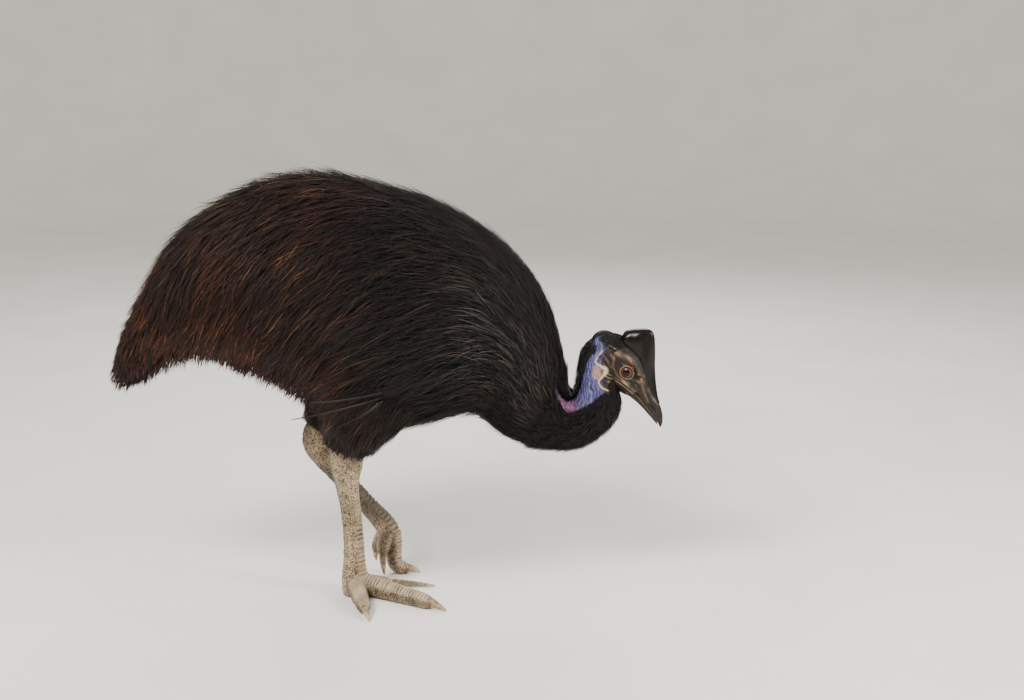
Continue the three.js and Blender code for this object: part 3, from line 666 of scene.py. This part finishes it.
def walk(surface, s, turn, length, lean, lie, count):
    """Follows lie over a surface: places (s, turn), and how far the path has come off it."""
    places, off = [(s, turn, np.zeros((len(s), 3)))], np.zeros((len(s), 3))
    step = (length / (2 * (count - 1)))[:, None]
    for _ in range(count - 1):
        for _ in range(2):
            zero = 0 * s
            along, around = tangents(surface, s, turn, zero)
            out = outward(surface, s, turn, zero, along, around)
            heading = lie(surface(s, turn, zero), s, turn, along)
            leaving = np.sum(heading * out, -1, keepdims=True)
            flat = heading - leaving * out
            flat = flat * np.cos(lean)[:, None] + np.cross(out, flat) * np.sin(lean)[:, None]
            free = np.clip(leaving, 0, 1) * smooth(0.02, 0.4, leaving) * RISE
            off = off + out * free * step
            size_s = np.maximum(np.linalg.norm(along, axis=-1), LEAST_ALONG)
            size_t = np.maximum(np.linalg.norm(around, axis=-1), LEAST_AROUND)
            unit_s, unit_t = unit(along), unit(around)
            skew = np.sum(unit_s * unit_t, -1)
            a, b = np.sum(flat * unit_s, -1), np.sum(flat * unit_t, -1)
            scale = np.maximum(1 - skew**2, 0.3)
            s = s + np.clip((a - skew * b) / scale, -1.5, 1.5) * step[:, 0] / size_s
            turn = turn + np.clip((b - skew * a) / scale, -1.5, 1.5) * step[:, 0] / size_t
        places.append((s, turn, off))
    return tuple(np.stack([p[k] for p in places], 1) for k in range(3))


def spread(surface, count, low, high, want, seed):
    """Random places on a surface, even over its area, thinned by want(s, turn)."""
    draw = np.random.default_rng(seed)
    s = draw.uniform(low, high, count * 12)
    turn = draw.uniform(-np.pi, np.pi, count * 12)
    along, around = tangents(surface, s, turn, 0 * s)
    weight = np.linalg.norm(np.cross(along, around), axis=-1) * want(s, turn)
    keep = draw.random(len(s)) < weight / np.quantile(weight, 0.97)
    return s[keep][:count], turn[keep][:count]


def clumped(path, root, guide_root, guide_path, pull):
    """Tufts drawn towards the nearest guide, more towards their tips."""
    near = closest(guide_root, root)
    along = np.linspace(0, 1, path.shape[1])[None, :, None] ** 1.3
    offset = path[:, :1] - guide_path[near][:, :1]
    target = guide_path[near] + offset * (1 - 0.8 * along)
    return path + (target - path) * along * pull, near


def tufts(path, out, width, colour, bake):
    """Closed three-sided tufts, as their points, one tuft's faces, bake map and colours, with painted shade
    at the root and painted light at the tip.

    path and out are (tufts, rings, 3), width is (tufts, rings), and bake is each root's (u, v).
    """
    count, rings = path.shape[:2]
    side = unit(np.cross(out, unit(np.gradient(path, axis=1))))
    half = width[..., None]
    ring = np.stack([path + side * half, path + out * half * 0.55, path - side * half], 2)
    verts = np.concatenate([ring[:, :-1].reshape(count, -1, 3), path[:, -1:]], 1)
    faces = [[0, 2, 1]]
    for r in range(rings - 2):
        for k in range(3):
            a, b = 3 * r + k, 3 * r + (k + 1) % 3
            faces += [[a, b, b + 3], [a, b + 3, a + 3]]
    last = 3 * (rings - 2)
    faces += [[last + k, last + (k + 1) % 3, last + 3] for k in range(3)]
    fall = np.linspace(0, 1, rings)
    grid = np.stack([np.tile([-1.0, 0, 1], rings - 1), np.repeat(fall[:-1], 3) * 2 - 1], -1)
    uv = bake[:, None] + np.concatenate([grid, [[0, 1]]])[None] * TUFT_UV
    # Painted shade and light: each tuft is darker at its root, deep in the coat, and lighter at its tip
    shade = np.concatenate([np.repeat(0.45 + 0.85 * fall[:-1], 3), [1.3]])
    return verts, np.array(faces), uv, colour[:, None] * shade[None, :, None]


def write_coat(name, verts, faces, uv, colours):
    """Meshes of whole tufts, none over the limit of triangles."""
    size = PIECE_LIMIT // len(faces)
    made = []
    for first in range(0, len(verts), size):
        chosen = slice(first, first + size)
        points = verts[chosen]
        starts = np.arange(len(points)) * points.shape[1]
        triangles = (faces[None] + starts[:, None, None]).reshape(-1, 3)
        piece = make(f"{name}_{len(made) + 1}", points.reshape(-1, 3), [triangles])
        paint(piece, colours[chosen].reshape(-1, 3))
        layer = piece.data.uv_layers.new(name="OFBake")
        layer.data.foreach_set("uv", uv[chosen].reshape(-1, 2)[triangles.ravel()].ravel().astype(np.float32))
        made.append(piece)
    return made


def grow(surface, region, seed):
    """Tufts over one region: where they root, how they lie, how they lift, and their colour."""
    draw = np.random.default_rng(seed + 100)
    low, high = region["span"]
    s, turn = spread(surface, int(region["count"] * TUFT_SHARE), low, high, region["want"], seed)
    gs, gturn = spread(surface, region["clumps"], low, high, region["want"], seed + 1)
    t = np.linspace(0, 1, region["rings"])[None]

    def paths(s, turn):
        length = region["length"](s, turn) * draw.uniform(0.72, 1.18, len(s))
        lean = draw.normal(0, region["stray"], len(s))
        ps, pt, off = walk(surface, s, turn, length, lean, region["lie"], region["rings"])
        lift = draw.uniform(*region["lift"], len(s))[:, None]
        flare = region["flare"] * draw.random(len(s))[:, None] ** 4
        depth = region["coat"](ps) * ((CORE_SHARE + 0.06) * (1 - t**0.75) + lift * t**0.75) - flare * t**2
        return surface(ps, pt, depth) + off, ps, pt, depth

    guide = paths(gs, gturn)[0]
    path, ps, pt, depth = paths(s, turn)
    path, near = clumped(path, surface(s, turn, 0 * s), surface(gs, gturn, 0 * gs), guide, region["pull"])
    out = outward(surface, ps, pt, depth, *tangents(surface, ps, pt, depth))
    taper = (1 - 0.75 * t**1.5) * (0.6 + 0.4 * np.minimum(5 * t, 1))
    width = region["width"] * draw.uniform(0.7, 1.25, (len(s), 1)) * taper
    clump_tone = draw.random(len(gs))[near]
    colour = region["tint"](s, turn, path, clump_tone, draw.random(len(s)))
    u0, v0, du, dv = region["bake"]
    bake = np.stack([u0 + du * (s - low) / (high - low), v0 + dv * (turn + np.pi) / TAU], -1)
    return tufts(path, out, width, colour, bake)


# Where plumes grow, how long and deep they are, and their colours
def body_tint(s, turn, path, clump, each):
    root = path[:, 0]
    warm = smooth(110, -260, root[:, 0]) * (0.45 + 0.55 * np.sin(np.abs(turn)) ** 0.6)
    drift = 0.5 + 0.5 * waves(root, 120, 12.5)
    streak = smooth(0.60, 1.0, 0.62 * each + 0.2 * clump + 0.22 * drift)
    # The band below is a painted highlight: paler strands along each side of the neck and breast
    painted_gleam = smooth(8.8, 11, s) * smooth(13.9, 12.8, s) * np.exp(-((np.abs(turn) - 1.5) / 0.5)**2)
    pale = smooth(0.94, 0.99, clump * 0.35 + 0.65 * each + 0.1)
    return layered(
        BLACK,
        (SOOT, each * 0.9),
        (UMBER, warm * (0.25 + 0.6 * each) + 0.5 * smooth(0.8, 1, each) * (1 - warm)),
        (RUST, streak * warm),
        (PAINTED_SHEEN, painted_gleam * smooth(0.6, 1, each) * 0.65),
        (STRAW, pale * (0.1 + 0.4 * warm)),
    )


def black_tint(s, turn, path, clump, each):
    return layered(BLACK, (SOOT, each), (UMBER, smooth(0.85, 1, each) * 0.6))


def bare_side(s, turn):
    """1 where the upper neck shows bare skin, 0 where short feathers cover it."""
    around = np.abs(turn)
    below = smooth(0, 0.12, around - np.interp(s, *zip(*NAPE_EDGE)))
    above = smooth(0, 0.12, np.interp(s, *zip(*THROAT_EDGE)) - around)
    return below * above * smooth(13.15, 13.35, s)


def body_want(s, turn):
    feathered = (s < 14.3) & (bare_side(s, turn) <= 0.4)
    return feathered * (1 + smooth(2, 0, s)) * (1 + 1.6 * smooth(11, 13, s))


def even(value):
    """The same number all over a region."""
    return lambda s, turn=None: value + 0 * s


def shorter(length, drop, first, last):
    """A length that drops between two places along."""
    return lambda s, turn: length - drop * smooth(first, last, s)


def body_length(s, turn):
    rear = 40 + 80 * smooth(0, 4.5, s)
    under = 1 - 0.58 * smooth(1.5, 2.3, np.abs(turn)) * smooth(8, 6, s)
    return (rear - 20 * smooth(8, 11, s) - 46 * smooth(10.5, 13.2, s) - 26 * smooth(13.2, 14.4, s)) * under


def body_coat(s):
    return between(SECTIONS, s)[..., 5]


def core_depth(s):
    return body_coat(s) * CORE_SHARE


# Body and head
def build_body():
    """The skin under the coat of body and thighs."""
    thigh_depth = THIGH_COAT * CORE_SHARE
    body = joined("body_skin", [
        tube(body_surface, 0, 13.5, 110, 96, core_depth),
        tube(limb_surface(THIGH_RIGHT), 0, 4, 30, 48, thigh_depth),
        tube(limb_surface(THIGH_LEFT), 0, 4, 30, 48, thigh_depth),
    ])
    fused(body, 5, 4)
    nodes = ["torso", "rump", "tail", "neck_lower", "thigh_left", "thigh_right"]
    pinned(body, under_material(), nodes)


def neck_colours(points, local, s, turn, aside, mottle):
    """Violet folds with painted shade in their creases and painted highlights on their ridges, pink stripes
    at the foot of the neck, a patch of flesh, and black under feathers.
    """
    x, y, z = local.T
    folds = 0.5 + 0.5 * np.sin((x * 0.5 + z * 0.85) * TAU / 6.2 + 2.6 * waves(points, 11, 5.1))
    across = (points[:, 0] - 330) * 0.45 + (points[:, 2] - 380) * 0.9
    stripe = smooth(0.35, 0.8, 0.5 + 0.5 * np.sin(across * TAU / 5.2 + 0.8 * waves(points, 16, 7.3)))
    stripe = stripe * smooth(15.6, 14.9, s) * smooth(428, 418, points[:, 2])
    patch = smooth(1.2, 0.75, np.hypot((x + 34) / 14, (z + 41) / 12) + 0.2 * waves(points, 6, 2.9))
    on_pad = smooth(-26, -18, z) * smooth(-36, -44, x)
    pad_bare = smooth(15, 20, np.abs(y)) * smooth(3, -7, z)
    return layered(
        VIOLET * 0.4,
        (VIOLET * 0.95, np.clip(0.5 + 0.6 * waves(points, 14, 4.4), 0, 1)),
        # Painted shade in the creases of the folds, then painted highlights on their ridges
        (SLATE, smooth(0.42, 0.9, folds) * (0.7 + 0.3 * waves(points, 7, 8.2))),
        (LILAC, smooth(0.16, 0.02, folds) * 0.35),
        (PINK, stripe * 0.85),
        (FLESH, patch * aside * mottle),
        (BLACK * 1.5, 1 - (bare_side(s, turn) * (1 - on_pad) + pad_bare * on_pad)),
    )


def face_colours(local, mouth):
    """Near-black skin with tan lines over and under the eye, round it and along the mouth, and painted shade
    in the mouth's crease.
    """
    x, _, z = local.T
    eye = np.hypot(x, z - 0.5)
    streaks = waves(local * [0.3, 1, 1.3], 6, 5.5)
    lines = 0.65 + 0.35 * waves(local * [0.25, 1, 1.6], 3.2, 9.9)
    brow_width = 2.6 + 4.5 * np.exp(-(np.hypot(x + 40, z - 13) / 15)**2)
    over_eye = np.exp(-(to_line(x, z, OVER_EYE) / brow_width)**2)
    under_eye = np.exp(-(to_line(x, z, UNDER_EYE) / 2.0)**2)
    return layered(
        FACE,
        (TAN * 0.8, smooth(0.35, 1.1, streaks) * 0.35),
        (TAN * [1.12, 1.02, 0.88], 0.85 * lines * over_eye),
        (TAN * [0.9, 0.7, 0.55], 0.5 * lines * under_eye),
        (CREAM * 0.8, smooth(1, 0.4, np.hypot((x - 14) / 13, (z + 17) / 4)) * 0.5),
        (TAN * 0.75, smooth(14.0, 13.2, eye) * smooth(11.6, 12.4, eye)),
        (BLACK, smooth(12.2, 11.4, eye)),
        (TAN * 1.2, np.exp(-((mouth - 2.6) / 0.9)**2) * 0.6),
        # Painted shade in the crease of the mouth
        (BLACK * 0.6, np.exp(-(mouth / 1.2)**2)),
        (BLACK, smooth(10, 20, z) * smooth(-18, -34, x)),
    )


def head_colours(points, s, turn, mouth, ear):
    """Face in front of its edge and neck behind it, with the cream band and the ear, which is painted darker
    as shade in its hole.
    """
    local = to_head(points)
    x, y, z = local.T
    aside = smooth(14, 24, np.abs(y))
    mottle = 0.75 + 0.25 * waves(points, 3.5, 6.6)
    behind = smooth(4, -3, x - np.interp(z, *zip(*FACE_EDGE))) * smooth(24, 12, z)
    behind = np.maximum(behind, smooth(-52, -60, z))
    face = face_colours(local, mouth) * (1 - behind)[:, None]
    neck = neck_colours(points, local, s, turn, aside, mottle) * behind[:, None]
    band = to_line(x, z, between(BAND, np.linspace(0, len(BAND) - 1, 40)))
    band_width = 1.3 + 2.6 * np.exp(-(np.hypot(x + 29, z + 29) / 10)**2)
    return layered(
        face + neck,
        (CREAM * (0.85 + 0.15 * mottle[:, None]), np.exp(-(band / band_width)**2) * aside * 0.9),
        # Painted shade in the hole of the ear
        (BLACK * 0.3, np.exp(-(ear / 3.0)**2)),
    )


def build_head():
    """Head and upper neck as one skin, with lids, mouth corners and ears."""
    head = joined("head_skin", [
        tube(body_surface, 12.9, 18.9, 64, 72, lambda s: core_depth(s) + 3 * smooth(18.2, 18.9, s)),
        tube(ball_surface(*PAD), 0, 1, 20, 32),
        tube(head_surface(SKULL), 0, 8, 60, 72),
        tube(lid_surface(1), 0, 1, 48, 14),
        tube(lid_surface(-1), 0, 1, 48, 14),
    ])
    fused(head, 1.5, 3)
    points = points_of(head)
    which, s, turn = nearest(head, [(body_surface, 12.9, 19), (head_surface(SKULL), 0, 8)])
    x, _, z = to_head(points).T
    mouth = to_line(x, z, MOUTH_LINE)
    ear = np.hypot((x - EAR[0]) / 1.1, z - EAR[1])
    on_neck = (which == 0).astype(float)
    wrinkle = np.abs(waves(points, 9, 1.3)) + 0.6 * np.abs(waves(points, 4.5, 2.1))
    move = -on_neck * 1.3 * np.clip(wrinkle, 0, 1.6) - (1 - on_neck) * 0.35 * waves(points, 5, 3.2)
    move -= 2.2 * np.exp(-(mouth / 1.6)**2) * (1 - on_neck) + 3.2 * np.exp(-(ear / 3.2)**2)
    push(head, move)
    paint(head, head_colours(points, s, turn, mouth, ear))
    pinned(head, skin_material(), ["head", "neck_upper"])


def build_eyes():
    """Eyes, each in its own space so that the iris lies round the eye's axis."""
    mat = eye_material()
    turned = Matrix(HEAD_AXES.tolist()).transposed().to_4x4()
    for side, name in ((1, "left"), (-1, "right")):
        eye = joined(f"eyeball_{name}", [tube(ball_surface([0, 0, 0], [EYE_RADIUS] * 3), 0, 1, 28, 48)])
        centre = from_head([0, side * (EYE_OUT + 0.6), 0]) * MM
        eye.matrix_world = Matrix.Translation(Vector(centre)) @ turned
        pinned(eye, mat, [f"eye_{name}"])


def build_casque():
    casque = joined("casque_plate", [tube(casque_surface, 0, 8, 110, 56)])
    points = points_of(casque)
    push(casque, 0.5 * waves(points * [1, 1, 0.5], 14, 6.1))
    paint_grey(casque, 0.8 + 0.7 * smooth(30, 70, to_head(points)[:, 2]))
    mat = horn_material("casque_horn", (0.003, 0.0022, 0.002), (0.013, 0.007, 0.005), 0.2, (90, 90, 26), 0.16)
    pinned(casque, mat, ["casque"])


def build_bill():
    """Upper and lower halves, with nostrils painted darker as shade in their dents, tan edges and a tan
    stripe.
    """
    mat = horn_material("bill_horn", (0.006, 0.005, 0.005), (0.03, 0.019, 0.014), 0.3, (70, 70, 70), 0.2)
    for name, rows, flat_side in (("bill_upper", BILL_UPPER, -1), ("bill_lower", BILL_LOWER, 1)):
        bill = joined(f"{name}_sheath", [tube(head_surface(rows, flat_side), 0, len(rows) - 1, 80, 56)])
        points = points_of(bill)
        x, _, z = to_head(points).T
        hole = np.hypot((x - NOSTRIL[0]) / 9, (z - NOSTRIL[1]) / 2.2)
        dent = np.exp(-hole**4) if name == "bill_upper" else 0 * hole
        push(bill, -(dent * 2.2 + 0.25 * waves(points, 8, 7.7)))
        # Painted shade: the nostril's dent is darkened as deep as it is pushed in
        paint_grey(bill, 1 - 0.8 * dent)
        edge = np.exp(-(to_line(x, z, BILL_EDGE) / 1.2)**2)
        stripe = np.exp(-(to_line(x, z, BILL_STRIPE) / 2.0)**2)
        mark(bill, "pale", (0.85 * edge + 0.5 * stripe) * (0.75 + 0.25 * waves(points, 4, 3.9)))
        pinned(bill, mat, [name])


# Legs and wings
def arc_of(rows, s):
    """Millimetres along a limb's middle line, up to fractional row numbers."""
    t = np.linspace(0, len(rows) - 1, 400)
    p = between(rows, t)[:, :3]
    run = np.concatenate([[0], np.cumsum(np.linalg.norm(np.diff(p, axis=0), axis=1))])
    return np.interp(s, t, run)


def leg_colours(points, which, turn, seam, far_leg_shade):
    """Pale scales, greyer upwards, with dark seams, and painted shade behind, under the toes, at the floor
    and on the far leg's upper shank.
    """
    z = points[:, 2]
    around = np.abs(turn)
    grey = np.clip(0.5 + 0.5 * waves(points, 22, 10.1) + 0.3 * smooth(250, 330, z), 0, 1)
    # Painted shade on the undersides of the toes
    under_toe_shade = smooth(0.5, 1.5, around) * smooth(2.2, 1.7, around) * (which > 0)
    colour = blend(SKIN_PALE, SKIN_GREY, grey) * (1 - 0.45 * under_toe_shade)[:, None] * (1 - seam)[:, None]
    return layered(
        colour,
        # Painted shade down the back of the shank, on the far leg's upper shank, and at the floor
        (SKIN_GREY * 0.2, smooth(0.9, 0.2, around) * smooth(70, 130, z) * 0.8),
        (SKIN_GREY * 0.22, far_leg_shade * smooth(225, 200, z) * smooth(95, 130, z)),
        (SKIN_GREY * 0.5, smooth(5, 1, z) * 0.7),
    )


def build_leg(side, shank, plate_from, far_leg_shade, mat):
    """Shank and toes as one skin: ring plates down the front and over the toes and pebbles elsewhere."""
    toes = [f"{side}_{toe}" for toe in ("middle", "outer", "inner")]
    limbs = [shank] + [TOES[toe][0] for toe in toes]
    spans = [(limb_surface(rows), 0, len(rows) - 1) for rows in limbs]
    leg = joined(f"leg_{side}_scales", [tube(*span, 14 * span[2], 40) for span in spans])
    fused(leg, 1.7, 2)
    points = points_of(leg)
    which, s, turn = nearest(leg, spans)
    on_shank = which == 0
    arc = np.zeros(len(s))
    for index, rows in enumerate(limbs):
        arc[which == index] = arc_of(rows, s[which == index])
    phase = (arc / np.where(on_shank, 9.0, 6.6)) % 1
    plated = np.where(on_shank, smooth(plate_from, plate_from + 0.3, s), 1)
    front = smooth(1.9, 2.25, np.abs(turn)) * plated
    groove = np.exp(-(np.minimum(phase, 1 - phase) / 0.11)**2)
    plate = front * (1.4 * (1 - phase) - 1.7 * groove)
    pebble = (1 - front) * (0.55 * waves(points, 6, 8.8) + 0.3 * waves(points, 3.4, 9.3))
    push(leg, plate + pebble)
    set_points(leg, np.maximum(points_of(leg), [-np.inf, -np.inf, 0]))
    paint(leg, leg_colours(points, which, turn, 0.9 * front * groove, far_leg_shade))
    mark(leg, "seams", 1 - 0.8 * front)
    pinned(leg, mat, [f"shank_{side}"] + [f"toe_{toe}" for toe in toes])


def build_claws():
    mat = horn_material("claw_horn", (0.17, 0.10, 0.055), (0.60, 0.46, 0.28), 0.24, (120, 120, 120), 0.2)
    for name, (_, rows) in TOES.items():
        claw = joined(f"nail_{name}", [tube(limb_surface(rows), 0, len(rows) - 1, 40, 28)])
        points = np.maximum(points_of(claw), [-np.inf, -np.inf, 0.2])
        set_points(claw, points)
        tip = np.linalg.norm(points - np.array(rows[-1][:3]), axis=1)
        paint_grey(claw, 1.0 - 0.5 * smooth(4, 40, tip))
        pinned(claw, mat, [f"claw_{name}"])


def sunk(rows):
    """The wing's arm, slimmer and lower in the coat than its plumed outside."""
    return [[r[0], r[1] - 9 * np.sign(r[1]), r[2], 0.75 * r[3], 0.75 * r[4]] for r in rows]


def mirrored(rows):
    return [[r[0], -r[1], *r[2:]] for r in rows]


def quill_rows(line):
    """A thin limb on a curve through a quill's root, middle and tip."""
    (a, b, c), rows = np.array(line, float), []
    for t in np.linspace(0, 1, 7):
        p = (1 - t)**2 * a + 2 * t * (1 - t) * (2 * b - (a + c) / 2) + t * t * c
        r = 3.0 - 2.2 * t
        rows.append([*p, r, r])
    return rows


def build_wings():
    """A small arm under the coat with three bare quills, on each side."""
    mat = horn_material("quill_horn", (0.006, 0.004, 0.004), (0.03, 0.017, 0.012), 0.4, (200, 30, 200), 0.15)
    for name, flip in (("right", list), ("left", mirrored)):
        parts = [tube(limb_surface(sunk(flip(WING_ARM))), 0, 4, 30, 24)]
        parts += [tube(limb_surface(flip(quill_rows(line))), 0, 6, 30, 12) for line in QUILLS]
        wing = joined(f"wing_quills_{name}", parts)
        paint_grey(wing, np.full(len(wing.data.vertices), 0.4))
        pinned(wing, mat, [f"wing_{name}"])


# Coat: bake is the region's place in the bake map, as its corner and its size
BODY = dict(
    count=44000, clumps=5200, span=(0.0, 14.3), want=body_want, length=body_length, lie=body_lie, stray=0.25,
    lift=(-0.12, 0.62), coat=body_coat, pull=0.45, flare=14, width=1.2, rings=5, tint=body_tint,
    bake=(0.01, 0.01, 0.58, 0.98))
THIGH = dict(
    BODY, count=4200, clumps=130, span=(0.0, 4.0), want=even(1.0), length=shorter(96, 34, 1, 3.6),
    lie=thigh_lie, stray=0.28, lift=(-0.75, 0.5), coat=even(THIGH_COAT), pull=0.7, flare=12, width=1.3)
WING = dict(
    BODY, count=1800, clumps=120, span=(0.0, 3.9), want=even(1.0), length=shorter(74, 24, 1.5, 3.9),
    lie=forward, stray=0.22, lift=(-1.1, -0.1), coat=even(6.0), pull=0.4, flare=0, width=1.3)
CROWN = dict(
    count=2600, clumps=160, span=(0.2, 3.2), length=even(13), lie=backward, stray=0.3, lift=(-1.0, -0.2),
    want=lambda s, turn: (np.abs(turn) < 1.15) & (s < 3.0) | (s < 1.2), coat=even(3.0), pull=0.3, flare=0,
    width=0.6, rings=4, tint=black_tint, bake=(0.75, 0.01, 0.12, 0.24))
NAPE = dict(
    CROWN, count=1700, clumps=120, span=(0.12, 0.95), lie=forward, coat=even(0.1),
    want=lambda s, turn: (np.sin(turn) > 0.3) | (np.abs(np.cos(turn)) * np.sin(np.pi * s) < 0.6),
    bake=(0.75, 0.26, 0.12, 0.22))
BROW = dict(
    CROWN, count=200, clumps=14, span=(4.4, 6.6), length=even(17), lie=brow_lie, stray=0.45,
    want=lambda s, turn: (np.abs(turn) > 0.72) & (np.abs(turn) < 1.12), lift=(-1.0, -0.5), pull=0.5,
    width=0.55, bake=(0.88, 0.01, 0.11, 0.48))
NECK = dict(
    CROWN, count=9500, clumps=500, span=(13.6, 18.9), length=shorter(26, 10, 14, 17),
    want=lambda s, turn: bare_side(s, turn) < 0.4, stray=0.2, lift=(-0.9, 0.2), coat=body_coat,
    pull=0.4, flare=4, width=0.75, bake=(0.61, 0.01, 0.12, 0.48))


def build_coat():
    """Every region's tufts, each with the seed that its draws start from."""
    mat = coat_material()
    skull = head_surface(SKULL)
    right_arm, left_arm = limb_surface(sunk(WING_ARM)), limb_surface(sunk(mirrored(WING_ARM)))
    regions = [
        ("coat_brow", skull, BROW, 28),
        ("coat_nape", ball_surface(*PAD), NAPE, 29),
        ("coat_body", body_surface, BODY, 21),
        ("coat_neck", body_surface, NECK, 22),
        ("coat_thigh_right", limb_surface(THIGH_RIGHT), dict(THIGH, bake=(0.61, 0.51, 0.18, 0.23)), 23),
        ("coat_thigh_left", limb_surface(THIGH_LEFT), dict(THIGH, bake=(0.61, 0.76, 0.18, 0.23)), 24),
        ("coat_crown", skull, CROWN, 25),
        ("coat_wing_right", right_arm, dict(WING, bake=(0.81, 0.51, 0.18, 0.23)), 26),
        ("coat_wing_left", left_arm, dict(WING, bake=(0.81, 0.76, 0.18, 0.23)), 27),
    ]
    for name, surface, region, seed in regions:
        for piece in write_coat(name, *grow(surface, region, seed)):
            pinned(piece, mat, ())


# Studio, in millimetres for the floor and metres for the lamps
def build_floor():
    """A wide round floor that curves up into a low pale wall, so that no horizon shows."""
    bend = np.linspace(0, np.pi / 2, 14)
    profile = [[5500 + 2500 * np.sin(a), 2500 * (1 - np.cos(a))] for a in bend] + [[8000, 5200]]
    sides = 96
    turn = TAU * np.arange(sides) / sides
    rings = [[[r * np.cos(t), r * np.sin(t), z - 0.5] for t in turn] for r, z in profile]
    verts = np.concatenate([np.array(rings).reshape(-1, 3), [[0, 0, -0.5]]])
    k = np.arange(sides)
    k2 = (k + 1) % sides
    base = sides * np.arange(len(profile) - 1)[:, None]
    quads = np.stack([base + k2, base + k, base + sides + k, base + sides + k2], -1).reshape(-1, 4)
    fan = np.stack([np.full(sides, len(verts) - 1), k, k2], -1)
    floor = make("floor", verts, [quads, fan])
    floor.data.materials.append(floor_material())


def build_world():
    world = bpy.data.worlds.new("studio")
    world.use_nodes = True
    background = world.node_tree.nodes["Background"]
    background.inputs["Color"].default_value = (0.93, 0.92, 0.90, 1)
    background.inputs["Strength"].default_value = 0.62
    bpy.context.scene.world = world


def area_light(name, at, target, size, power):
    data = bpy.data.lights.new(name, "AREA")
    data.shape = "SQUARE"
    data.size, data.energy = size, power
    lamp = bpy.data.objects.new(name, data)
    bpy.context.collection.objects.link(lamp)
    lamp.location = at
    lamp.rotation_euler = (Vector(target) - Vector(at)).to_track_quat("-Z", "Y").to_euler()


def build_camera():
    data = bpy.data.cameras.new("camera")
    data.lens = LENS
    data.sensor_width = SENSOR
    camera = bpy.data.objects.new("camera", data)
    bpy.context.collection.objects.link(camera)
    camera.location = CAMERA_AT
    camera.rotation_euler = (np.radians(90 - CAMERA_DOWN), 0, 0)
    bpy.context.scene.camera = camera


build_body()
build_head()
build_eyes()
build_casque()
build_bill()
scales = scale_material()
# The number before scales sets the painted shade on the upper shank, used only on the far (left) leg
build_leg("right", SHANK_RIGHT, 4.4, 0.0, scales)
build_leg("left", SHANK_LEFT, 4.6, 0.85, scales)
build_claws()
build_wings()
build_coat()
build_floor()
build_world()
area_light("key", (-1.6, -2.0, 3.0), (0, 0, 0.45), 1.3, 190)
area_light("fill", (2.4, -1.8, 1.6), (0.1, 0, 0.4), 2.2, 40)
area_light("edge", (2.3, -0.9, 1.3), (0.5, 0, 0.45), 0.5, 34)
area_light("rim", (0.4, 2.6, 2.4), (0, 0, 0.5), 2.0, 60)
build_camera()

bpy.context.view_layer.update()
